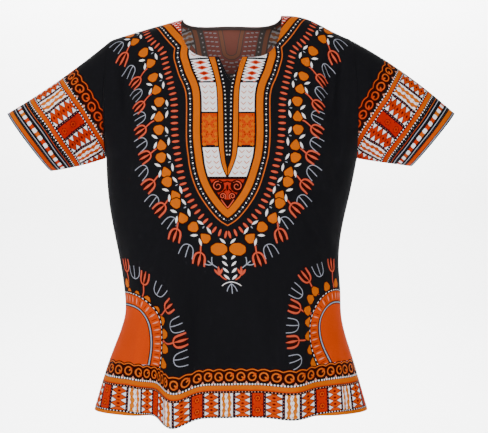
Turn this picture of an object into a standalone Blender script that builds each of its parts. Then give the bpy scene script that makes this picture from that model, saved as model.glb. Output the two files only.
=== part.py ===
"""A short-sleeved dashiki shirt, in its worn shape with no wearer in it, in metres.

+Z is up, the front faces -Y and the wearer's left sleeve points to +X.
The origin is where the wearer's shoulders carry it: midway between the two
points where the shoulder seams meet the neckline.
Each cut piece is a cloth wall of its own: front, back and two sleeves.
"""

import math
from collections import namedtuple

import bmesh
import bpy
import numpy as np

# The cloth
CLOTH = 0.0015          # thickness of a wall
SEAM_GAP = 0.0003       # space that two sewn pieces keep at a seam

# The shoulders and the neck
NECK_HALF = 0.088       # centre to the neck end of a shoulder seam
SHOULDER_HALF = 0.221   # centre to the sleeve end of a shoulder seam
SHOULDER_DROP = 0.042   # how far that seam falls towards the sleeve
YOKE_RISE = 0.012       # height of the shoulder line where it would cross the neck
LEFT_LIFT = 0.015       # the wearer's left shoulder holds its seam this much higher
SEAM_PLANE = 0.004      # the shoulder and side seams lie this far behind the origin
NECK_DEPTH = 0.142      # front neckline below the shoulder line, along the cloth
NOTCH_DEPTH = 0.186     # foot of the centre notch, measured the same way
NOTCH_HALF = 0.019      # half the notch's width at the neckline
BACK_NECK_DEPTH = 0.052

# The armholes
UNDERARM_LEVEL = -0.262
ARMHOLE_FRONT = 0.074   # how far an armhole bows forward of the seam plane
ARMHOLE_BACK = 0.076
ARMHOLE_BOW = 0.004     # how far it bows outwards at half height

# The body
HEM_LEVEL = -0.722      # the hem at the side seams
HEM_DIP = 0.004         # how much lower it hangs at centre front and back
VENT_TOP = -0.556       # the side vents start here
VENT_OPENING = 0.017    # how far each vent edge stands from the seam plane at the hem
FULLNESS = 2.25         # exponent of the body's section: 2 is an ellipse

# The sleeves
CUFF_TOP = (0.414, -0.178)      # across and up
CUFF_FOOT = (0.334, -0.281)
CUFF_HALF_DEPTH = 0.057
CUFF_BACK = 0.006               # how far the cuff's middle lies behind the origin

# How finely the walls are divided
SHOULDER_STEPS = 6
SCOOP_STEPS = 6
NOTCH_STEPS = 4
ARMHOLE_ROWS = 13
BODY_ROWS = 20
SLEEVE_ROWS = 12

Section = namedtuple("Section", "level half_width forward behind sway")
BODY = [
    Section(-0.262, 0.2320, 0.127, 0.112, 0.001),
    Section(-0.330, 0.2230, 0.132, 0.108, -0.004),
    Section(-0.395, 0.2105, 0.135, 0.100, -0.006),
    Section(-0.460, 0.2015, 0.137, 0.098, -0.002),
    Section(-0.510, 0.1995, 0.139, 0.104, 0.003),
    Section(-0.545, 0.1995, 0.140, 0.110, 0.004),
    Section(-0.570, 0.2040, 0.140, 0.114, 0.003),
    Section(-0.620, 0.2205, 0.140, 0.118, 0.001),
    Section(-0.675, 0.2375, 0.139, 0.121, 0.000),
    Section(-0.722, 0.2510, 0.138, 0.122, 0.000),
]

# How each sleeve hangs: by how much its upper and under sides sag midway, and how
# much lower than drawn the foot of its cuff hangs.
Hang = namedtuple("Hang", "upper under foot")
SLEEVES = {1: Hang(-0.009, 0.001, -0.005), -1: Hang(0.006, 0.003, 0.004)}

# A fold is a soft ridge, or a trough where its depth is below 0, along a line seen
# from the front. Its drop is how much lower the cloth hangs at the fold's foot.
Fold = namedtuple("Fold", "top_x top_z foot_x foot_z width depth drop")
FRONT_FOLDS = [
    Fold(-0.085, -0.440, -0.100, -0.722, 0.030, 0.018, 0.018),
    Fold(-0.126, -0.480, -0.140, -0.722, 0.019, -0.014, -0.004),
    Fold(0.094, -0.460, 0.110, -0.722, 0.032, 0.015, 0.004),
    Fold(0.146, -0.520, 0.156, -0.722, 0.022, -0.011, -0.001),
    Fold(0.020, -0.540, 0.022, -0.722, 0.038, -0.006, 0.000),
    Fold(0.186, -0.040, 0.190, -0.330, 0.013, -0.008, 0.000),
    Fold(-0.180, -0.050, -0.192, -0.330, 0.014, -0.007, 0.000),
]
BACK_FOLDS = [
    Fold(-0.090, -0.380, -0.115, -0.722, 0.036, 0.016, 0.004),
    Fold(0.075, -0.410, 0.092, -0.722, 0.036, 0.018, 0.005),
    Fold(-0.010, -0.360, -0.008, -0.722, 0.040, -0.011, 0.000),
    Fold(0.150, -0.430, 0.162, -0.722, 0.028, -0.010, 0.000),
    Fold(-0.168, -0.060, -0.178, -0.330, 0.016, -0.007, 0.000),
    Fold(0.170, -0.060, 0.176, -0.320, 0.016, -0.007, 0.000),
]
SLEEVE_FOLDS = [
    Fold(0.252, -0.080, 0.280, -0.262, 0.015, -0.006, 0.000),
    Fold(0.305, -0.150, 0.326, -0.290, 0.014, 0.004, 0.000),
]
FOLD_FADE = 0.34        # share of its length over which a fold rises from nothing
SEAM_CALM = 0.030       # folds die away over this distance from a seam

Cloth = namedtuple("Cloth", "points outward")


def smooth(share):
    share = np.clip(share, 0.0, 1.0)
    return share * share * (3 - 2 * share)


def unit(vectors):
    return vectors / np.linalg.norm(vectors, axis=-1, keepdims=True)


def curve_through(at, values):
    """A natural cubic spline through the points, as a function of an array."""
    order = np.argsort(at)
    x, y = np.array(at, float)[order], np.array(values, float)[order]
    step, count = np.diff(x), len(x)
    matrix, right = np.eye(count), np.zeros(count)
    for i in range(1, count - 1):
        matrix[i, i - 1:i + 2] = step[i - 1], 2 * (step[i - 1] + step[i]), step[i]
        right[i] = 6 * ((y[i + 1] - y[i]) / step[i] - (y[i] - y[i - 1]) / step[i - 1])
    bend = np.linalg.solve(matrix, right)

    def curve(q):
        q = np.clip(q, x[0], x[-1])
        i = np.clip(np.searchsorted(x, q) - 1, 0, count - 2)
        h, a, b = step[i], (x[i + 1] - q) / step[i], (q - x[i]) / step[i]
        bent = (a ** 3 - a) * bend[i] + (b ** 3 - b) * bend[i + 1]
        return a * y[i] + b * y[i + 1] + bent * h * h / 6

    return curve


LEVELS = [section.level for section in BODY]
HALF_WIDTH = curve_through(LEVELS, [section.half_width for section in BODY])
FORWARD = curve_through(LEVELS, [section.forward for section in BODY])
BEHIND = curve_through(LEVELS, [section.behind for section in BODY])
SWAY = curve_through(LEVELS, [section.sway for section in BODY])


def armhole_point(share, side):
    """A point of the left armhole's seam, from the shoulder (share 0) to the underarm (1).

    side is -1 for the front half of the loop and 1 for the back half.
    """
    bow = np.sin(math.pi * share)
    depth = ARMHOLE_FRONT if side < 0 else ARMHOLE_BACK
    across = SHOULDER_HALF + (BODY[0].half_width - SHOULDER_HALF) * share
    fall = (share ** 1.35 + (1 - np.cos(math.pi * share)) / 2) / 2
    up = -SHOULDER_DROP + (UNDERARM_LEVEL + SHOULDER_DROP) * fall
    return np.stack([across + ARMHOLE_BOW * bow, SEAM_PLANE + side * depth * bow, up], axis=-1)


def centre_point(share, side):
    """Depth and height on centre front or back, from the shoulder line to underarm level."""
    turn = np.multiply(share, math.pi / 2)
    depth = BODY[0].forward if side < 0 else BODY[0].behind
    up = YOKE_RISE - (YOKE_RISE - UNDERARM_LEVEL) * (1 - np.cos(turn))
    return SEAM_PLANE + side * depth * np.sin(turn), up


def row_points(across, down, side):
    """Points along one row of a panel's plain form.

    across is an array from -1 to 1 between the side edges, by angle round the body.
    down is 0 at the shoulder line, 1 at underarm level and 2 at the hem.
    """
    yoke, body = min(down, 1.0), max(down - 1.0, 0.0)
    level = UNDERARM_LEVEL + (HEM_LEVEL - UNDERARM_LEVEL) * body
    edge_x, edge_y, edge_z = armhole_point(yoke, side)
    centre_y, centre_z = centre_point(yoke, side)
    if body > 0:
        edge_x, edge_y, edge_z = HALF_WIDTH(level), SEAM_PLANE, level
        if level < VENT_TOP:
            vent = (VENT_TOP - level) / (VENT_TOP - HEM_LEVEL)
            edge_y += side * (SEAM_GAP / 2 + VENT_OPENING * vent ** 1.4)
        centre_y = SEAM_PLANE + side * (FORWARD(level) if side < 0 else BEHIND(level))
        centre_z = level - HEM_DIP * body ** 2
    size = np.abs(across)
    turn = size * math.pi / 2
    wrap = smooth((yoke - 0.45) / 0.55)
    out = size + (np.sin(turn) ** (2 / FULLNESS) - size) * wrap
    flat = 1 - size ** 2
    forth = flat + (np.cos(turn) ** (2 / FULLNESS) - flat) * wrap
    fall = 1 - size ** (1.3 + 0.9 * smooth(yoke * 2.5))
    lift = LEFT_LIFT * np.exp(-((across - 0.60) / 0.24) ** 2) * smooth(1 - yoke / 0.4)
    sway = SWAY(level) * smooth((yoke - 0.3) / 0.7)
    return np.stack([
        np.sign(across) * edge_x * out + sway,
        edge_y + (centre_y - edge_y) * forth,
        edge_z + (centre_z - edge_z) * fall + lift,
    ], axis=-1)


class Form:
    """A panel's plain form, read by its share across the cloth and its row downwards."""

    def __init__(self, side, rows=161, columns=161):
        self.across = np.linspace(-1, 1, columns)
        fine = np.sin(np.linspace(-1, 1, 4 * columns) * math.pi / 2)
        self.points = np.empty((rows, columns, 3))
        for j, down in enumerate(np.linspace(0, 2, rows)):
            row = row_points(fine, down, side)
            along = np.cumsum(np.linalg.norm(np.diff(row, axis=0), axis=1))
            along = np.concatenate([[0], along]) / along[-1] * 2 - 1
            for k in range(3):
                self.points[j, :, k] = np.interp(self.across, along, row[:, k])

    def at(self, across, down):
        """Points at any shares across and down, between the nearest ones that are kept."""
        rows, columns = self.points.shape[:2]
        i = np.clip((across + 1) / 2 * (columns - 1), 0, columns - 1 - 1e-9)
        j = np.clip(down / 2 * (rows - 1), 0, rows - 1 - 1e-9)
        i0, j0 = i.astype(int), j.astype(int)
        a, b = (i - i0)[..., None], (j - j0)[..., None]
        upper = self.points[j0, i0] * (1 - a) + self.points[j0, i0 + 1] * a
        lower = self.points[j0 + 1, i0] * (1 - a) + self.points[j0 + 1, i0 + 1] * a
        return upper * (1 - b) + lower * b


def row_below(depth, side):
    """The row that lies this far below the shoulder line, along the cloth at the centre."""
    shares = np.linspace(0, 1, 200)
    y, z = centre_point(shares, side)
    along = np.concatenate([[0], np.cumsum(np.hypot(np.diff(y), np.diff(z)))])
    return float(np.interp(depth, along, shares))


def top_edge(side):
    """The panel's top edge from side to side, as shares across and rows down."""
    neck = NECK_HALF / SHOULDER_HALF
    inner = NOTCH_HALF / SHOULDER_HALF if side < 0 else 0.0
    depth = NECK_DEPTH if side < 0 else BACK_NECK_DEPTH
    steps = SCOOP_STEPS if side < 0 else SCOOP_STEPS + NOTCH_STEPS
    left = [(-1 + (1 - neck) * i / SHOULDER_STEPS, 0.0) for i in range(SHOULDER_STEPS)]
    for i in range(steps + 1):
        turn = math.pi / 2 * i / steps
        reach = inner + (neck - inner) * math.cos(turn) ** 0.62
        left.append((-reach, row_below(depth * math.sin(turn) ** 0.86, side)))
    if side < 0:
        for i in range(1, NOTCH_STEPS + 1):
            part = i / NOTCH_STEPS
            foot = row_below(NECK_DEPTH + (NOTCH_DEPTH - NECK_DEPTH) * part, side)
            left.append((-inner * (1 - part) ** 0.8, foot))
    edge = left + [(-across, down) for across, down in reversed(left[:-1])]
    return np.array(edge).T


def panel_grid(side):
    """Shares across and down for each point of a panel, as two arrays of rows."""
    across, down = top_edge(side)
    even = np.linspace(-1, 1, len(across))
    part = np.arange(ARMHOLE_ROWS + 1)[:, None] / ARMHOLE_ROWS
    body = 1 + np.arange(1, BODY_ROWS + 1)[:, None] / BODY_ROWS + 0 * even
    return (np.concatenate([across + (even - across) * part ** 0.8, even + 0 * body]),
            np.concatenate([down + (1 - down) * part, body]))


def fold_lift(points, folds):
    """How far the folds lift each point off the plain form, and how far they let it down."""
    lift, fall = np.zeros(points.shape[:-1]), np.zeros(points.shape[:-1])
    for fold in folds:
        start = np.array([fold.top_x, fold.top_z])
        line = np.array([fold.foot_x, fold.foot_z]) - start
        rest = points[..., [0, 2]] - start
        along = rest @ line / (line @ line)
        off = (rest[..., 0] * line[1] - rest[..., 1] * line[0]) / np.linalg.norm(line)
        near = np.exp(-(off / fold.width) ** 2)
        to_hem = fold.foot_z == HEM_LEVEL
        fade = smooth(along / FOLD_FADE) * (1 if to_hem else smooth((1 - along) / FOLD_FADE))
        lift += fold.depth * near * fade
        fall += fold.drop * near * smooth(along)
    return lift, fall


def normals_of(points, around=False):
    """Unit normals of rows of points, from their neighbours across and down."""
    if around:
        across = np.roll(points, -1, axis=1) - np.roll(points, 1, axis=1)
    else:
        across = np.gradient(points, axis=1)
    return unit(np.cross(across, np.gradient(points, axis=0)))


def panel(side):
    """A panel's outer face, folds included."""
    plain = Form(side).at(*panel_grid(side))
    outward = normals_of(plain) * side
    step = np.linalg.norm(np.diff(plain, axis=1), axis=-1)
    from_left = np.concatenate([np.zeros((len(plain), 1)), np.cumsum(step, axis=1)], axis=1)
    from_side = np.minimum(from_left, from_left[:, -1:] - from_left)
    from_top = np.linalg.norm(plain - plain[:1], axis=-1)
    calm = smooth(from_side / SEAM_CALM) * smooth(from_top / SEAM_CALM)
    lift, fall = fold_lift(plain, FRONT_FOLDS if side < 0 else BACK_FOLDS)
    points = plain + outward * (lift * calm)[..., None]
    points[..., 2] -= fall * calm
    outward = normals_of(points) * side
    outward[ARMHOLE_ROWS + 1:, [0, -1], 1] = 0      # square vent edges
    return Cloth(points, unit(outward))


def sleeve(hand):
    """A sleeve's outer face, as rings from the armhole to the cuff.

    hand is 1 for the wearer's left, at +X. A ring starts at the shoulder, goes
    down the front and comes up the back.
    """
    share = np.arange(ARMHOLE_ROWS + 1) / ARMHOLE_ROWS
    share = np.concatenate([share, share[-2:0:-1]])
    is_front = np.arange(len(share)) <= ARMHOLE_ROWS
    armhole = np.where(is_front[:, None], armhole_point(share, -1), armhole_point(share, 1))
    hang = SLEEVES[hand]
    top, foot = np.array(CUFF_TOP), np.array(CUFF_FOOT) - (0, hang.foot)
    middle, half = (top + foot) / 2, (top - foot) / 2
    lobe = np.cos(math.pi * share)
    depth = CUFF_HALF_DEPTH * np.sin(math.pi * share) * np.where(is_front, -1, 1)
    cuff = np.stack([middle[0] + half[0] * lobe, CUFF_BACK + depth, middle[1] + half[1] * lobe], axis=-1)
    part = np.arange(SLEEVE_ROWS + 1)[:, None] / SLEEVE_ROWS
    rings = armhole + (cuff - armhole) * part[..., None]
    rings[..., 2] -= 4 * part * (1 - part) * (hang.under * smooth(-lobe) + hang.upper * smooth(lobe))
    lift, _ = fold_lift(rings, SLEEVE_FOLDS)
    rings = rings + normals_of(rings, around=True) * (lift * smooth(part * 4) * is_front)[..., None]
    rings[..., 0] *= hand
    return Cloth(rings, normals_of(rings, around=True) * hand)


def sew(one, one_edge, one_beside, other, other_edge, other_beside):
    """Brings two pieces to one seam, half a gap each side of it.

    Where the seam is flat or a ridge, both walls share one direction through the
    cloth. In a valley each keeps its own, which already parts their inner faces.
    """
    other.points[other_edge] = one.points[one_edge]
    one_way = unit(one.points[one_beside] - one.points[one_edge])
    other_way = unit(other.points[other_beside] - other.points[other_edge])
    valley = np.sum(one_way * other.outward[other_edge], axis=-1, keepdims=True) > 0.05
    shared = unit(one.outward[one_edge] + other.outward[other_edge])
    one.outward[one_edge] = np.where(valley, one.outward[one_edge], shared)
    other.outward[other_edge] = np.where(valley, other.outward[other_edge], shared)
    apart = np.linalg.norm(one_way - other_way, axis=-1, keepdims=True)
    one.points[one_edge] += one_way * SEAM_GAP / apart
    other.points[other_edge] += other_way * SEAM_GAP / apart


def cotton(name, colour):
    material = bpy.data.materials.new(name)
    material.use_nodes = True
    shader = material.node_tree.nodes["Principled BSDF"]
    shader.inputs["Base Color"].default_value = (*colour, 1.0)
    shader.inputs["Roughness"].default_value = 0.85
    shader.inputs["Metallic"].default_value = 0.0
    return material


def wall(name, cloth, around, colour, group):
    """A closed cloth wall: a grid placed on the outer face, then extruded inwards."""
    outer, outward = cloth
    if around:
        outer = np.concatenate([outer, outer[:, :1]], axis=1)
        outward = np.concatenate([outward, outward[:, :1]], axis=1)
    rows, columns = outer.shape[:2]
    shape = bmesh.new()
    bmesh.ops.create_grid(shape, x_segments=columns - 1, y_segments=rows - 1, size=1)
    inwards = shape.verts.layers.float_vector.new("inwards")
    for vert, point, way in zip(list(shape.verts), outer.reshape(-1, 3), outward.reshape(-1, 3)):
        vert.co = point
        vert[inwards] = way * -CLOTH
    bmesh.ops.remove_doubles(shape, verts=shape.verts, dist=1e-6)
    bmesh.ops.triangulate(shape, faces=shape.faces, quad_method="SHORT_EDGE")
    made = bmesh.ops.extrude_face_region(shape, geom=shape.faces[:])
    for vert in made["geom"]:
        if isinstance(vert, bmesh.types.BMVert):
            vert.co += vert[inwards]
    bmesh.ops.recalc_face_normals(shape, faces=shape.faces)
    mesh = bpy.data.meshes.new(name)
    shape.to_mesh(mesh)
    shape.free()
    mesh.shade_smooth()
    mesh.materials.append(cotton(name + "_cotton", colour))
    group.objects.link(bpy.data.objects.new(name, mesh))


def build():
    for old in list(bpy.data.objects):
        bpy.data.objects.remove(old, do_unlink=True)
    group = bpy.data.collections.new("dashiki_shirt")
    bpy.context.scene.collection.children.link(group)

    front, back = panel(-1), panel(1)
    sleeves = {hand: sleeve(hand) for hand in (1, -1)}
    right, left = slice(SHOULDER_STEPS + 1), slice(-SHOULDER_STEPS - 1, None)
    vent_row = ARMHOLE_ROWS + int(BODY_ROWS * (VENT_TOP - UNDERARM_LEVEL) / (HEM_LEVEL - UNDERARM_LEVEL))
    side_rows = slice(ARMHOLE_ROWS, vent_row + 1)
    for edge, beside in (
        ((0, right), (1, right)),
        ((0, left), (1, left)),
        ((side_rows, 0), (side_rows, 1)),
        ((side_rows, -1), (side_rows, -2)),
    ):
        sew(front, edge, beside, back, edge, beside)
    down_front = np.arange(ARMHOLE_ROWS + 1)
    down_back = -down_front % (2 * ARMHOLE_ROWS)
    loop = slice(ARMHOLE_ROWS + 1)
    for hand, column, inner in ((1, -1, -2), (-1, 0, 1)):
        tube, underarm = sleeves[hand], (ARMHOLE_ROWS, column)
        sleeve_way, body_way = tube.outward[0, ARMHOLE_ROWS].copy(), front.outward[underarm].copy()
        for half, piece in ((down_front, front), (down_back, back)):
            sew(piece, (loop, column), (loop, inner), tube, (0, half), (1, half))
        # Three pieces meet under the arm, and the sleeve stays just clear of the other two
        middle = (front.points[underarm] + back.points[underarm]) / 2
        tube.points[0, ARMHOLE_ROWS] = middle + unit(tube.points[1, ARMHOLE_ROWS] - middle) * SEAM_GAP
        tube.outward[0, ARMHOLE_ROWS] = sleeve_way
        front.outward[underarm] = back.outward[underarm] = body_way

    black = (0.010, 0.010, 0.012)
    orange = (0.80, 0.17, 0.03)
    wall("front_panel", front, False, black, group)
    wall("back_panel", back, False, black, group)
    wall("sleeve_left", sleeves[1], True, orange, group)
    wall("sleeve_right", sleeves[-1], True, orange, group)


build()
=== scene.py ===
# %% [markdown]
# # A printed dashiki shirt
#
# The shirt is four pieces of printed cotton: a front, a back and two sleeves. The print
# comes on the cloth before it is cut, so it is charted here on each flat cut piece, in
# millimetres, and the cut piece is then worn: every point of the flat cloth is laid on
# the shirt's worn form, folds included. Sizes of the worn form are in metres, and places
# on flat cloth are in millimetres.

import math
from collections import namedtuple

import bpy
import numpy as np
from mathutils import Matrix, Vector, geometry


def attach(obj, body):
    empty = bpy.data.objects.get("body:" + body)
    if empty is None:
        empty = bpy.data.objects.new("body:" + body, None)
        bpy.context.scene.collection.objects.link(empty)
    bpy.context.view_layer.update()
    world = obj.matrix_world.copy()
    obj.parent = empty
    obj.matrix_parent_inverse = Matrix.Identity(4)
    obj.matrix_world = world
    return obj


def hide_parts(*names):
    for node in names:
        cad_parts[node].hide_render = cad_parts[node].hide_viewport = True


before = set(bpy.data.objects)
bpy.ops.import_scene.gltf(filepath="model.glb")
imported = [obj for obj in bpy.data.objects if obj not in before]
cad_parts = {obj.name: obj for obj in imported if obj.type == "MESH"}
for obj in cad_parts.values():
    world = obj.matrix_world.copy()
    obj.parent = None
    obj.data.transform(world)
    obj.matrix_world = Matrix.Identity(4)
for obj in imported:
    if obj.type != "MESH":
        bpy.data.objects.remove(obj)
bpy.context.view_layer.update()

# %% [markdown]
# ## The worn form
#
# The cloth hangs from the shoulders as an open, empty tube. A simulation could drape it,
# but then it would come away from the solid part. So the form is worked out from the
# solid's own numbers: a section round the body at each level, an armhole loop at each side
# and a slanting cuff. Rows run down the cloth from the shoulder line (0) to underarm level
# (1) and the hem (2).

# %% Sizes of the worn form
SEAM_GAP = 0.0003       # space that two sewn pieces keep at a seam
NECK_HALF = 0.088       # centre to the neck end of a shoulder seam
SHOULDER_HALF = 0.221   # centre to the sleeve end of a shoulder seam
SHOULDER_DROP = 0.042   # how far that seam falls towards the sleeve
YOKE_RISE = 0.012       # height of the shoulder line where it would cross the neck
LEFT_LIFT = 0.015       # the left shoulder seam sits this much higher
SEAM_PLANE = 0.004      # the shoulder and side seams lie this far behind the origin
NECK_DEPTH = 0.142      # front neckline below the shoulder line, along the cloth
NOTCH_DEPTH = 0.186     # foot of the centre notch, measured the same way
NOTCH_HALF = 0.019      # half the notch's width at the neckline
BACK_NECK_DEPTH = 0.052
UNDERARM_LEVEL = -0.262
ARMHOLE_FRONT = 0.074   # how far an armhole bows forward of the seam plane
ARMHOLE_BACK = 0.076
ARMHOLE_BOW = 0.004     # how far it bows outwards at half height
HEM_LEVEL = -0.722      # the hem at the side seams
HEM_DIP = 0.004         # how much lower it hangs at centre front and back
VENT_TOP = -0.556       # the side vents start here
VENT_OPENING = 0.017    # how far each vent edge stands from the seam plane at the hem
FULLNESS = 2.25         # exponent of the body's section: 2 is an ellipse
CUFF_TOP = (0.414, -0.178)      # across and up
CUFF_FOOT = (0.334, -0.281)
CUFF_HALF_DEPTH = 0.057
CUFF_BACK = 0.006               # how far the cuff's middle lies behind the origin
FRONT, BACK = -1, 1

# Sections of the body, from underarm level down to the hem
Section = namedtuple("Section", "level half_width forward behind sway")
BODY = [
    Section(-0.262, 0.2320, 0.127, 0.112, 0.001),
    Section(-0.330, 0.2230, 0.132, 0.108, -0.004),
    Section(-0.395, 0.2105, 0.135, 0.100, -0.006),
    Section(-0.460, 0.2015, 0.137, 0.098, -0.002),
    Section(-0.510, 0.1995, 0.139, 0.104, 0.003),
    Section(-0.545, 0.1995, 0.140, 0.110, 0.004),
    Section(-0.570, 0.2040, 0.140, 0.114, 0.003),
    Section(-0.620, 0.2205, 0.140, 0.118, 0.001),
    Section(-0.675, 0.2375, 0.139, 0.121, 0.000),
    Section(-0.722, 0.2510, 0.138, 0.122, 0.000),
]

# How each sleeve hangs: by how much its upper and under sides sag midway, and how much
# lower than drawn the foot of its cuff hangs
Hang = namedtuple("Hang", "upper under foot")
SLEEVES = {1: Hang(-0.009, 0.001, -0.005), -1: Hang(0.006, 0.003, 0.004)}
print("shoulder seams", SHOULDER_HALF - NECK_HALF, "m across, vents from", VENT_TOP, "to", HEM_LEVEL)


# %% Helpers, and the body's sizes as smooth curves
def smooth(share):
    """A soft step from 0 to 1."""
    share = np.clip(share, 0.0, 1.0)
    return share * share * (3 - 2 * share)


def unit(vectors):
    return vectors / np.maximum(np.linalg.norm(vectors, axis=-1, keepdims=True), 1e-12)


def curve_through(at, values):
    """A natural cubic spline through the points, as a function of an array."""
    order = np.argsort(at)
    x, y = np.array(at, float)[order], np.array(values, float)[order]
    step, count = np.diff(x), len(x)
    matrix, right = np.eye(count), np.zeros(count)
    for i in range(1, count - 1):
        matrix[i, i - 1:i + 2] = step[i - 1], 2 * (step[i - 1] + step[i]), step[i]
        right[i] = 6 * ((y[i + 1] - y[i]) / step[i] - (y[i] - y[i - 1]) / step[i - 1])
    bend = np.linalg.solve(matrix, right)

    def curve(q):
        q = np.clip(q, x[0], x[-1])
        i = np.clip(np.searchsorted(x, q) - 1, 0, count - 2)
        h, a, b = step[i], (x[i + 1] - q) / step[i], (q - x[i]) / step[i]
        bent = (a ** 3 - a) * bend[i] + (b ** 3 - b) * bend[i + 1]
        return a * y[i] + b * y[i + 1] + bent * h * h / 6

    return curve


LEVELS = [section.level for section in BODY]
HALF_WIDTH = curve_through(LEVELS, [section.half_width for section in BODY])
FORWARD = curve_through(LEVELS, [section.forward for section in BODY])
BEHIND = curve_through(LEVELS, [section.behind for section in BODY])
SWAY = curve_through(LEVELS, [section.sway for section in BODY])
print("widest section", 2 * max(section.half_width for section in BODY), "m, underarm at", UNDERARM_LEVEL)


# %% The armhole, the centre lines and the rows between them
def armhole_point(share, side):
    """A point of the left armhole's seam, from the shoulder (share 0) to the underarm (1)."""
    bow = np.sin(math.pi * share)
    depth = ARMHOLE_FRONT if side < 0 else ARMHOLE_BACK
    across = SHOULDER_HALF + (BODY[0].half_width - SHOULDER_HALF) * share
    fall = (share ** 1.35 + (1 - np.cos(math.pi * share)) / 2) / 2
    up = -SHOULDER_DROP + (UNDERARM_LEVEL + SHOULDER_DROP) * fall
    return np.stack([across + ARMHOLE_BOW * bow, SEAM_PLANE + side * depth * bow, up], axis=-1)


def centre_point(share, side):
    """Depth and height on centre front or back, from the shoulder line to underarm level."""
    turn = np.multiply(share, math.pi / 2)
    depth = BODY[0].forward if side < 0 else BODY[0].behind
    up = YOKE_RISE - (YOKE_RISE - UNDERARM_LEVEL) * (1 - np.cos(turn))
    return SEAM_PLANE + side * depth * np.sin(turn), up


def row_points(across, down, side):
    """Points along one row of a panel's plain form, across from -1 to 1."""
    yoke, body = min(down, 1.0), max(down - 1.0, 0.0)
    level = UNDERARM_LEVEL + (HEM_LEVEL - UNDERARM_LEVEL) * body
    edge_x, edge_y, edge_z = armhole_point(yoke, side)
    centre_y, centre_z = centre_point(yoke, side)
    if body > 0:
        edge_x, edge_y, edge_z = HALF_WIDTH(level), SEAM_PLANE, level
        if level < VENT_TOP:
            vent = (VENT_TOP - level) / (VENT_TOP - HEM_LEVEL)
            edge_y += side * (SEAM_GAP / 2 + VENT_OPENING * vent ** 1.4)
        centre_y = SEAM_PLANE + side * (FORWARD(level) if side < 0 else BEHIND(level))
        centre_z = level - HEM_DIP * body ** 2
    size = np.abs(across)
    turn = size * math.pi / 2
    wrap = smooth((yoke - 0.45) / 0.55)
    out = size + (np.sin(turn) ** (2 / FULLNESS) - size) * wrap
    flat = 1 - size ** 2
    forth = flat + (np.cos(turn) ** (2 / FULLNESS) - flat) * wrap
    fall = 1 - size ** (1.3 + 0.9 * smooth(yoke * 2.5))
    lift = LEFT_LIFT * np.exp(-((across - 0.60) / 0.24) ** 2) * smooth(1 - yoke / 0.4)
    sway = SWAY(level) * smooth((yoke - 0.3) / 0.7)
    return np.stack([
        np.sign(across) * edge_x * out + sway,
        edge_y + (centre_y - edge_y) * forth,
        edge_z + (centre_z - edge_z) * fall + lift,
    ], axis=-1)


def normals_of(points, around=False):
    """Unit normals of rows of points, from their neighbours across and down."""
    if around:
        across = np.roll(points, -1, axis=1) - np.roll(points, 1, axis=1)
    else:
        across = np.gradient(points, axis=1)
    return unit(np.cross(across, np.gradient(points, axis=0)))


print("a hem row from side to side:", row_points(np.linspace(-1, 1, 3), 2.0, FRONT).round(3).tolist())

# %% [markdown]
# ## Folds and creases
#
# Loose cotton falls in long soft flutes from the chest to the hem, and in short creases
# that fan out from the shoulder ends, where the sleeve pulls. Noise could crease the cloth,
# but it doesn't know where a shirt pulls. So each fold is listed as a soft ridge, or
# a trough where its depth is below 0, along a line seen from the front. The long ones are
# those of the solid. The short ones are the cloth's own, and uneven in length, depth and
# spacing.

# %% Folds, as top x, top z, foot x, foot z, width, depth, drop at the foot, sideways bow
FRONT_FOLDS = [
    (-0.085, -0.440, -0.100, -0.722, 0.030, 0.018, 0.018, 0),
    (-0.126, -0.480, -0.140, -0.722, 0.019, -0.014, -0.004, 0),
    (0.094, -0.460, 0.110, -0.722, 0.032, 0.015, 0.004, 0),
    (0.146, -0.520, 0.156, -0.722, 0.022, -0.011, -0.001, 0),
    (0.020, -0.540, 0.022, -0.722, 0.038, -0.006, 0.000, 0),
    (0.186, -0.040, 0.190, -0.330, 0.013, -0.008, 0.000, 0),
    (-0.180, -0.050, -0.192, -0.330, 0.014, -0.007, 0.000, 0),
]
BACK_FOLDS = [
    (-0.090, -0.380, -0.115, -0.722, 0.036, 0.016, 0.004, 0),
    (0.075, -0.410, 0.092, -0.722, 0.036, 0.018, 0.005, 0),
    (-0.010, -0.360, -0.008, -0.722, 0.040, -0.011, 0.000, 0),
    (0.150, -0.430, 0.162, -0.722, 0.028, -0.010, 0.000, 0),
    (-0.168, -0.060, -0.178, -0.330, 0.016, -0.007, 0.000, 0),
    (0.170, -0.060, 0.176, -0.320, 0.016, -0.007, 0.000, 0),
]
SLEEVE_FOLDS = [
    (0.252, -0.080, 0.280, -0.262, 0.015, -0.006, 0.000, 0),
    (0.305, -0.150, 0.326, -0.290, 0.014, 0.004, 0.000, 0),
]
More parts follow.
